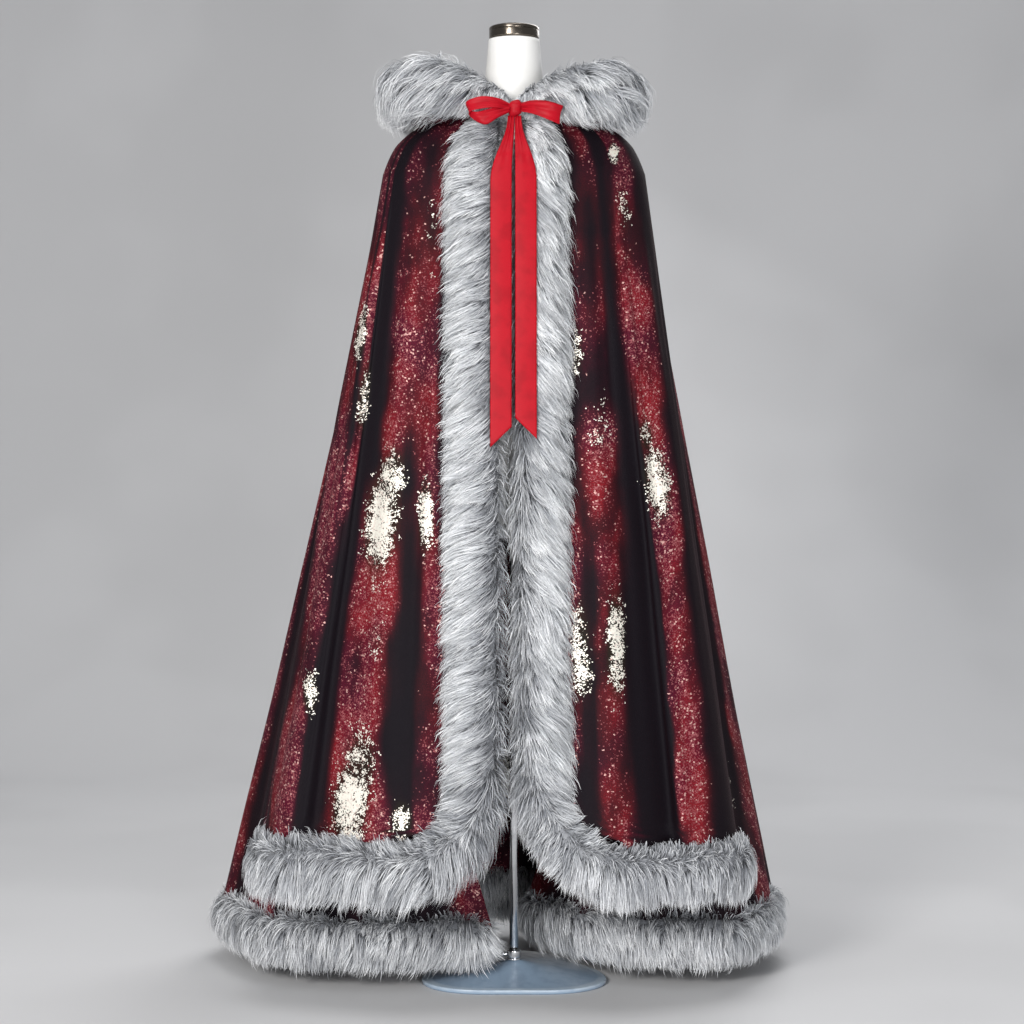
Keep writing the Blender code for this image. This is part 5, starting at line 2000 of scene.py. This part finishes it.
    def hair_ribbons(self, kind: HairKind, count: int, generator: np.random.Generator) -> Shape:
        """Hairs of one kind as narrow ribbons that end in a point.

        Args:
            kind: the kind of hair.
            count: how many.
            generator: the source of the random numbers.

        Returns:
            One shape that holds all of them.
        """
        points, outward, tone = self.hair_points(kind, count, generator)
        stages = np.array(kind.stages)
        last = len(stages) - 1
        tangent = unit(np.gradient(points, axis=1))
        side = unit(np.cross(tangent, outward))
        tilt = generator.normal(0, 0.55, count)[:, None, None]
        side = side * np.cos(tilt) + np.cross(side, tangent) * np.sin(tilt)
        width = kind.width * generator.uniform(0.65, 1.2, count)[:, None, None]
        half = side[:, :last] * width * (0.56 - 0.30 * stages[:last] ** 2)[None, :, None]
        middle = points[:, :last]
        ladder = np.stack([middle - half, middle + half], axis=2).reshape(count, 2 * last, 3)
        vertices = np.concatenate([ladder, points[:, last:]], axis=1)
        quad = np.array([0, 1, 3, 2])
        pattern = np.concatenate([(quad + 2 * np.arange(last - 1)[:, None]).ravel(), 2 * last - 2 + np.arange(3)])
        each = 2 * last + 1
        corners = (np.arange(count)[:, None] * each + pattern).ravel()
        shape = Shape(vertices.reshape(-1, 3), corners, np.tile([4] * (last - 1) + [3], count))
        along = np.append(np.repeat(stages[:last], 2), 1.0) * kind.brightness
        shape.values["along"] = np.tile(along, count)
        shape.values["tone"] = np.repeat(tone, each)
        return shape

    def pile(self) -> Shape:
        """Every hair of the edging in one shape."""
        generator = np.random.default_rng(self.seed)
        return joined([self.hair_ribbons(kind, int(self.hairs * kind.share), generator) for kind in HAIR_KINDS])

    def build(self, node: str) -> list[Piece]:
        """Make the undercoat and the pile in place of a solid.

        Args:
            node: the solid that they stand for.

        Returns:
            The two pieces.
        """
        parts = (("_undercoat", self.undercoat()), ("_pile", self.pile()))
        return [shape.stand_for(node, self.name + part, self.material, "fur") for part, shape in parts]


@dataclass
class CloakFur:
    """The fur of the fronts, the long hem and the hood."""

    wardrobe: Wardrobe
    hood: Hood
    bow: "Bow"
    hairs: dict[str, int] = field(default_factory=lambda: {"front": 40000, "hem": 36000, "hood": 23000})
    hood_wild: float = 1.7
    hood_drop: float = 0.008
    drop_place: float = 0.36
    drop_stretch: float = 0.22

    def long_hem_rings(self, count: int, sides: int) -> Array:
        """Sections of the long hem's fur: 0 degrees is outwards and 90 is up.

        Args:
            count: sections along the hem.
            sides: points in each section.

        Returns:
            The sections, from the left insert round the back to the right one.
        """
        back = BackPanel().hem_points(np.linspace(0, 1, 45))
        line = np.vstack([even_path(plan(LEFT_GORE), 14)[:-1], back, even_path(plan(RIGHT_GORE), 16)[1:]])
        for _ in range(3):
            line[1:-1] = (line[:-2] + 2 * line[1:-1] + line[2:]) / 4
        line = even_path(line, count)
        outward = outward_in_plan(np.gradient(line, axis=0))[:, :2]
        sweep = np.linspace(0, 2 * math.pi, sides, endpoint=False)
        plan_points = line[:, None, :] + outward[:, None, :] * (LONG_BAND_REACH * np.cos(sweep))[None, :, None]
        z = LONG_HEM_Z + LONG_BAND / 2 + LONG_BAND / 2 * np.sin(sweep)
        return np.concatenate([plan_points, np.broadcast_to(z[None, :, None], (count, sides, 1))], axis=2)

    def edgings(self) -> list[tuple[FurEdging, str]]:
        """Every edging with the solid that it stands for."""
        fur = self.wardrobe.fur
        left_rings = Side.LEFT.panel(for_fur=True).fur_rings(220, 28)
        right_rings = np.roll(Side.RIGHT.panel(for_fur=True).fur_rings(220, 28)[:, ::-1], 1, axis=1)
        hem = self.long_hem_rings(420, 24)
        hood = self.hood.fur_rings(240, 24)
        half_hem, half_hood = len(hem) // 2, len(hood) // 2
        lowered = bump_at(np.linspace(0, 1, half_hood + 1), self.drop_place, self.drop_stretch)
        hood[: half_hood + 1, :, 2] -= self.hood_drop * lowered[:, None]
        hair, bow = self.hairs, self.bow
        left, right = ({"hold": partial(bow.hold_back, side=side)} for side in (Side.LEFT, Side.RIGHT))
        first, last = {"end_caps": (True, False)}, {"end_caps": (False, True)}
        free = {"hold": bow.hold_hood, "wild": self.hood_wild}
        rows = (
            ("fur_front_left", "fur_front_left", left_rings, hair["front"], left),
            ("fur_front_right", "fur_front_right", right_rings, hair["front"], right),
            ("fur_hem_left", "fur_hem", hem[: half_hem + 1], hair["hem"], first),
            ("fur_hem_right", "fur_hem", hem[half_hem:], hair["hem"], last),
            ("fur_hood_right", "fur_hood", hood[: half_hood + 1], hair["hood"], first | free),
            ("fur_hood_left", "fur_hood", hood[half_hood:], hair["hood"], last | free),
        )
        return [
            (FurEdging(name, rings, COMBS[name], count, 100 * place, fur, **more), node)
            for place, (name, node, rings, count, more) in enumerate(rows, 1)
        ]

    def build(self) -> list[Piece]:
        """Make all the fur.

        Returns:
            The pieces.
        """
        return [piece for edging, node in self.edgings() for piece in edging.build(node)]


# --- The bow ---


@dataclass(frozen=True)
class RibbonPlace:
    """A place on a ribbon's middle line, with the direction of its width and its width."""

    x: float
    y: float
    z: float
    across: tuple[float, float, float]
    width: float


KNOT = np.array([0.002, -0.1230, 1.552])
LEFT_LOOP = (
    RibbonPlace(-0.010, -0.004, 0.002, (0.15, 0.1, 1.0), 0.012),
    RibbonPlace(-0.030, -0.020, 0.006, (0.10, 0.1, 1.0), 0.017),
    RibbonPlace(-0.058, -0.026, 0.006, (0.05, 0.1, 1.0), 0.022),
    RibbonPlace(-0.081, -0.020, 0.000, (-0.15, 0.3, 1.0), 0.022),
    RibbonPlace(-0.079, -0.012, -0.010, (-0.50, 0.3, 1.0), 0.026),
    RibbonPlace(-0.060, -0.024, -0.021, (-0.75, 0.1, 1.0), 0.028),
    RibbonPlace(-0.034, -0.020, -0.011, (-0.45, 0.1, 1.0), 0.019),
    RibbonPlace(-0.010, -0.005, -0.002, (0.00, 0.1, 1.0), 0.012),
)
RIGHT_LOOP = (
    RibbonPlace(0.010, -0.003, 0.002, (-0.1, 0.0, 1.0), 0.012),
    RibbonPlace(0.030, -0.004, 0.004, (0.0, 0.1, 1.0), 0.018),
    RibbonPlace(0.056, -0.006, -0.001, (0.10, 0.2, 1.0), 0.026),
    RibbonPlace(0.076, -0.012, -0.011, (0.15, 0.2, 1.0), 0.032),
    RibbonPlace(0.079, -0.022, -0.015, (0.20, 0.1, 1.0), 0.033),
    RibbonPlace(0.060, -0.030, -0.010, (0.10, 0.0, 1.0), 0.030),
    RibbonPlace(0.032, -0.022, -0.003, (0.0, 0.0, 1.0), 0.021),
    RibbonPlace(0.010, -0.007, 0.000, (0.0, 0.0, 1.0), 0.013),
)


@dataclass
class Bow:
    """The satin ribbon: a knot, a loop on each side and two hanging tails."""

    wardrobe: Wardrobe
    tail_width: float = 0.037
    tail_drop: float = 0.0128
    tails_reach: float = 0.041
    tails_cover: tuple[float, float] = (0.955, 1.545)
    hold_depth: float = 0.0028
    loops_reach: float = 0.088
    loops_height: float = 0.026
    hold_front: float = 0.003
    rows: int = 90
    columns: int = 13

    def loop(self, places: tuple[RibbonPlace, ...]) -> Shape:
        """A loop: each place's middle plus its width's direction, cupped along the middle.

        Args:
            places: the loop's places, relative to the knot.

        Returns:
            The open ribbon.
        """
        rows = np.array([(p.x, p.y, p.z, *p.across, p.width) for p in places])
        line = smooth_path(rows, np.linspace(0, len(rows) - 1, self.rows))
        across = unit(line[:, 3:6])
        share = np.linspace(-0.5, 0.5, self.columns)
        tangent = unit(np.gradient(line[:, :3], axis=0))
        normal = unit(np.cross(tangent, across))
        along = np.linspace(0, 1, self.rows)
        gathers = 0.0016 * np.sin(share[None, :] * 15) * (np.abs(along - 0.5)[:, None] * 2) ** 1.5
        cup = 0.0022 * np.cos(share * math.pi)[None, :] + gathers
        aside = across[:, None, :] * (share[None, :, None] * line[:, None, 6:])
        grid = KNOT + line[:, None, :3] + aside + normal[:, None, :] * cup[..., None]
        length = lengths_along(line[:, :3])
        uv = np.stack(np.broadcast_arrays(share[None, :] * self.tail_width, length[:, None]), axis=-1)
        return grid_shape(grid, uv=uv)

    def tail(self, side: Side, centre_x: float, length: float, slant: float) -> Shape:
        """A tail that leaves the knot gathered, opens and hangs on the fur, cut on a slant.

        Args:
            side: which front it hangs on.
            centre_x: where its middle hangs.
            length: its length down the middle.
            slant: how much longer one edge is than the other.

        Returns:
            The open ribbon.
        """
        panel = side.panel()
        share = np.linspace(0, 1, self.rows)[:, None]
        across = np.linspace(-0.5, 0.5, self.columns)[None, :]
        spread = ease(0.0, 0.2, share)
        width = self.tail_width * (0.30 + 0.70 * spread)
        middle_x = KNOT[0] + (centre_x - KNOT[0]) * (0.28 + 0.72 * spread)
        outer = np.abs(middle_x) + width / 2
        top_z = KNOT[2] - self.tail_drop
        z = top_z - (length + slant * across) * share
        fur_y = np.minimum(self.fur_front(panel, outer, z - 0.02), self.fur_front(panel, outer, z))
        sway = 0.0022 * np.sin(9 * share + 1.5 * side.value) * spread - 0.0016 * np.cos(across * math.pi) * spread
        folds = 0.0020 * np.sin(across * 14 + 2 * share) * (1 - spread)
        y = np.minimum(fur_y - 0.0012, KNOT[1]) + sway * 0.7 + folds
        grid = np.stack(np.broadcast_arrays(middle_x + across * width, y, z), axis=-1)
        uv = np.stack(np.broadcast_arrays(across * self.tail_width + 0.2 * side.value, top_z - z), axis=-1)
        return grid_shape(grid, uv=uv)

    def fur_front(self, panel: FrontPanel, out_x: Array, z: Array) -> Array:
        """How far forward the fur down a front edge reaches, at a distance from the middle."""
        out_x, z = np.broadcast_arrays(out_x, z)
        half = panel.strip_reach(z) / 2
        offset = np.clip(np.abs(out_x - half) / half, 0, 1)
        diagonal = math.sqrt(0.5)
        bulge = np.interp(offset, (0.0, diagonal, 1.0), (1.0, diagonal, 0.0))
        return panel.point(panel.place_at(out_x, z), z)[..., 1] - STRIP_OUTWARD * bulge

    def hold_back(self, points: Array, side: Side) -> Array:
        """Keep the hair under the tails behind them.

        Args:
            points: the hairs' points.
            side: which front the hair is on.

        Returns:
            The points, pushed back where a tail covers them.
        """
        x, z = points[..., 0], points[..., 2]
        low, high = self.tails_cover
        covered = (np.abs(x) < self.tails_reach + 0.002) & (z > low) & (z < high)
        out_x = np.full(int(covered.sum()), self.tails_reach)
        limit = self.fur_front(side.panel(), out_x, z[covered]) + self.hold_depth
        points[covered, 1] = np.maximum(points[covered, 1], limit)
        return points

    def hold_hood(self, points: Array) -> Array:
        """Keep the hood's hair behind the loops."""
        beside = np.abs(points[..., 0]) < self.loops_reach
        near = beside & (np.abs(points[..., 2] - KNOT[2] + 0.004) < self.loops_height)
        points[near, 1] = np.maximum(points[near, 1], KNOT[1] - self.hold_front)
        return points

    def knot(self) -> Shape:
        """The knot: a rounded wrap whose radius is pinched top and bottom and folded across.

        Returns:
            A closed shape.
        """
        rise = np.linspace(-math.pi / 2, math.pi / 2, 40)[1:-1, None]
        turn = np.linspace(0, 2 * math.pi, 48, endpoint=False)[None, :]
        folds = 1 + 0.07 * np.sin(5 * rise + 1.3 * np.sin(turn)) * np.cos(rise)
        plump = np.cos(rise) ** 0.55 * folds
        x = 0.0125 * plump * np.cos(turn)
        y = 0.0105 * plump * np.sin(turn)
        z = 0.0138 * np.sin(rise) + 0.0012 * np.cos(turn) + 0 * turn
        grid = np.stack(np.broadcast_arrays(x, y, z), axis=-1) + KNOT
        return closed_shape(grid)

    def build(self) -> dict[str, Piece]:
        """Make the bow.

        Returns:
            The pieces by node.
        """
        shapes = {
            "bow_loop_left": self.loop(LEFT_LOOP),
            "bow_loop_right": self.loop(RIGHT_LOOP),
            "bow_tail_left": self.tail(Side.LEFT, -0.0225, 0.562, -0.036),
            "bow_tail_right": self.tail(Side.RIGHT, 0.0205, 0.547, 0.036),
        }
        satin = self.wardrobe.satin
        made = {
            node: shape.stand_for(node, node.replace("bow_", "ribbon_"), satin, "satin", RIBBON)
            for node, shape in shapes.items()
        }
        knot = self.knot()
        knot.uv = np.stack([knot.points[:, 0] + 1.0, knot.points[:, 2]], axis=1)
        made["bow_knot"] = knot.stand_for("bow_knot", "ribbon_knot", satin, "satin")
        return made


# --- The form and its stand ---


@dataclass
class DressForm:
    """The limbless form with its neck cap, pole, collar, screw and base."""

    wardrobe: Wardrobe
    pole_radius: float = 0.008
    base_radius: float = 0.158
    corner_share: float = 0.12
    set_back: float = 0.034
    rim: float = 0.008
    cone: float = 0.030
    collar_radius: float = 0.013
    collar_top: float = 0.056
    cap_radius: float = 0.045
    rolled_share: float = 0.965
    softened: float = 0.0006
    gap: float = 0.0003

    def torso(self) -> Shape:
        """The form's rings, with a rolled lower edge and a flat top."""
        low, bust = np.linspace(0.803, 1.42, 44), np.linspace(1.42, NECK_TOP_Z, 52)[1:]
        angles = np.arange(0, 360, 3.75)
        rings = form_ring(angles[None, :], np.concatenate([low, bust])[:, None])
        under = rings[:1].copy()
        under[..., :2] *= self.rolled_share
        under[..., 2] = FORM_FOOT_Z
        return closed_shape(np.concatenate([under, rings]))

    def cap(self) -> Shape:
        """The neck's cap: a shallow dome over a straight side with a fine groove."""
        foot = NECK_TOP_Z + self.gap
        r = self.cap_radius
        corners = np.array([
            (0.001, foot + 0.0285), (0.018, foot + 0.0280), (0.032, foot + 0.0262), (r - 0.002, foot + 0.0232),
            (r, foot + 0.0212), (r, foot + 0.0172), (r - 0.0010, foot + 0.0164), (r, foot + 0.0156),
            (r, foot + 0.0035), (r - 0.0012, foot + 0.0026), (r - 0.0020, foot), (0.001, foot),
        ])
        return closed_shape(turned(rounded(corners, 0.0012), 72), flip=True)

    def pole(self) -> Shape:
        """The pole, between the base and the form, with softened ends."""
        top, bottom = FORM_FOOT_Z - self.gap, self.rim + self.cone + self.gap
        r, soft = self.pole_radius, self.softened
        upper = [(0.001, top), (r - soft, top), (r, top - soft)]
        lower = [(r, bottom + soft), (r - soft, bottom), (0.001, bottom)]
        return closed_shape(turned(np.array(upper + lower), 40), flip=True)

    def outline(self, scale: Array, z: Array, count: int = 120) -> Array:
        """Rings of the base: a triangle with very round corners and a flat side to the front.

        The radius is the mean radius times one plus a share of the cosine of three times the
        angle.

        Args:
            scale: size of each ring.
            z: height of each ring.
            count: points in a ring.

        Returns:
            The rings.
        """
        angles = np.linspace(0, 2 * math.pi, count, endpoint=False)[None, :]
        corner = 1 + self.corner_share * np.cos(3 * (angles + math.pi / 6))
        radius = self.base_radius * scale[:, None] * corner
        y = radius * np.sin(angles) + self.set_back * scale[:, None]
        return np.stack(np.broadcast_arrays(radius * np.cos(angles), y, z[:, None]), axis=-1)

    def base(self) -> Shape:
        """The base: a rounded rim, and a top that rises to the pole by a power of the way in."""
        inward = np.linspace(0, 1, 40)
        under = np.array([0.30, 0.90, 0.978, 0.992, 0.999, 1.0, 1.0, 0.9975])
        under_z = np.array([0.0, 0.0, 0.0, 0.0006, 0.0020, 0.0035, 0.0060, 0.0074])
        scale = np.concatenate([under, 0.99 + (0.08 - 0.99) * inward, [0.04]])
        z = np.concatenate([under_z, self.rim + self.cone * inward**1.25, [self.rim + self.cone]])
        shape = closed_shape(self.outline(scale, z))
        # rub is a paler band round the rim's top edge.
        rub = bump_at(z, self.rim - 0.001, 0.0032) * (scale > 0.9)
        shape.values["rub"] = np.concatenate([np.repeat(rub, 120), [0.0, 0.0]])
        return shape

    def collar(self) -> Shape:
        """The collar round the pole: a ring with a groove, closed on itself."""
        foot, top = self.rim + self.cone + self.gap, self.collar_top
        inner, outer = self.pole_radius + self.gap, self.collar_radius
        corners = np.array([
            (inner, top - 0.004), (inner, top), (outer - 0.0008, top), (outer, top - 0.0008), (outer, foot + 0.0055),
            (outer - 0.0009, foot + 0.0046), (outer, foot + 0.0037), (outer, foot + 0.0006), (outer - 0.0006, foot),
            (inner, foot), (inner, top - 0.004),
        ])
        profile = rounded(corners, 0.0006, 3)
        return grid_shape(turned(profile, 56)[:-1], wrap=True, flip=True)

    def screw(self) -> Shape:
        """The locking screw: a knurled head on a short stem that points to the left."""
        start = -(self.collar_radius + self.gap)
        corners = np.array([
            (0.0002, 0.0), (0.0026, 0.0), (0.0026, 0.0030), (0.0037, 0.0036),
            (0.0040, 0.0045), (0.0040, 0.0090), (0.0034, 0.0099), (0.0002, 0.0100),
        ])
        rings = turned(rounded(corners, 0.0004, 3), 48)
        head = (rings[..., 2] > 0.0034) & (rings[..., 2] < 0.0098)
        turn = np.arange(48)[None, :]
        knurl = np.where(head & (turn % 2 == 0), 0.93, 1.0)
        x = start - rings[..., 2]
        y = rings[..., 0] * knurl
        z = self.collar_top - 0.008 + rings[..., 1] * knurl
        return closed_shape(np.stack([x, y, z], axis=-1), flip=True)

    def build(self) -> list[Piece]:
        """Make the form and its stand in place of their solids.

        Returns:
            The pieces.
        """
        wardrobe = self.wardrobe
        plans = (
            ("form_torso", self.torso(), wardrobe.cover, "form_cover"),
            ("neck_cap", self.cap(), wardrobe.dark_chrome, "dark_chrome"),
            ("pole", self.pole(), wardrobe.chrome, "chrome"),
            ("base", self.base(), wardrobe.paint, "base_paint"),
            ("base_collar", self.collar(), wardrobe.chrome, "chrome"),
            ("base_screw", self.screw(), wardrobe.chrome, "chrome"),
        )
        return [
            shape.stand_for(node, "stand_" + node, material, slot) for node, shape, material, slot in plans
        ]


# --- The studio ---


@dataclass(frozen=True)
class SoftLight:
    """A square lamp: its place, what it points at, its size, power and colour."""

    name: str
    place: tuple[float, float, float]
    aim: tuple[float, float, float]
    size: float
    power: float
    colour: Colour = (1.0, 1.0, 1.0)


SOFT_LIGHTS = (
    SoftLight("key", (-1.7, -3.9, 2.0), (0.0, 0.0, 0.9), 1.0, 142.0, (1.0, 0.985, 0.96)),
    SoftLight("low_fill", (0.9, -4.2, 0.7), (0.0, 0.0, 0.5), 1.2, 86.0, (0.97, 0.98, 1.0)),
    SoftLight("back", (1.2, 2.6, 3.2), (0.0, 0.0, 1.0), 2.2, 55.0),
    SoftLight("top", (0.0, -0.6, 4.0), (0.0, 0.0, 0.8), 2.0, 40.0),
)


@dataclass
class Studio:
    """A pale paper sweep, four soft lights and the camera."""

    lens: float = 78.1
    shift_x: float = -0.002
    shift_y: float = -0.0576
    reach: float = 7.0
    bend_start: float = 2.4
    bend_radius: float = 1.6
    floor_drop: float = 0.0002
    air_colour: Colour = (0.80, 0.82, 0.85)
    air_strength: float = 0.30

    def sweep(self) -> None:
        """The floor, which curves up into a wall behind."""
        turn = np.linspace(0, math.pi / 2, 20)
        floor_y = np.linspace(-self.reach, self.bend_start, 12)
        curve_y = self.bend_start + self.bend_radius * np.sin(turn)
        curve_z = self.bend_radius - self.bend_radius * np.cos(turn)
        y = np.concatenate([floor_y, curve_y[1:], [self.bend_start + self.bend_radius]])
        z = np.concatenate([0 * floor_y, curve_z[1:], [self.reach]]) - self.floor_drop
        x = np.linspace(-self.reach, self.reach, 12)
        grid = np.stack(np.broadcast_arrays(x[None, :], y[:, None], z[:, None]), axis=-1)
        paper = grid_shape(grid).as_object("studio_sweep", StudioPaper().material())

    def light(self, row: SoftLight) -> None:
        """Set up one light: a square lamp at its place that points at its aim."""
        lamp = bpy.data.lights.new(row.name, "AREA")
        lamp.size = row.size
        lamp.energy = row.power
        lamp.color = row.colour
        holder = bpy.data.objects.new(row.name, lamp)
        holder.location = row.place
        way = Vector(row.aim) - Vector(row.place)
        holder.rotation_euler = way.to_track_quat("-Z", "Y").to_euler()
        bpy.context.scene.collection.objects.link(holder)

    def camera(self) -> None:
        """The camera in front, level, at the photograph's distance and height."""
        data = bpy.data.cameras.new("camera")
        data.lens = self.lens
        data.sensor_width = 36.0
        data.shift_x = self.shift_x
        data.shift_y = self.shift_y
        data.clip_end = 100.0
        holder = bpy.data.objects.new("camera", data)
        holder.location = (0.0, -EYE_DISTANCE, EYE_Z)
        holder.rotation_euler = (math.pi / 2, 0.0, 0.0)
        bpy.context.scene.collection.objects.link(holder)
        bpy.context.scene.camera = holder

    def build(self) -> None:
        """Make the stage, the lights and the camera."""
        self.camera()
        self.sweep()
        for row in SOFT_LIGHTS:
            self.light(row)
        world = bpy.data.worlds.new("studio_world")
        world.use_nodes = True
        air = world.node_tree.nodes["Background"].inputs
        air["Color"].default_value = (*self.air_colour, 1.0)
        air["Strength"].default_value = self.air_strength
        bpy.context.scene.world = world
        bpy.context.scene.view_settings.view_transform = "Standard"


# --- Putting it together ---


def main() -> None:
    """Build the studio, the form, the cloak, the fur and the bow."""
    logging.basicConfig(level=logging.INFO, format="%(name)s: %(message)s")
    Studio().build()
    wardrobe = Wardrobe()
    DressForm(wardrobe).build()
    cloth = CloakCloth(wardrobe).build()
    hood = Hood(wardrobe)
    hood_piece = hood.build()
    bow = Bow(wardrobe)
    ribbons = bow.build()
    CloakFur(wardrobe, hood, bow).build()


if __name__ == "__main__":
    main()
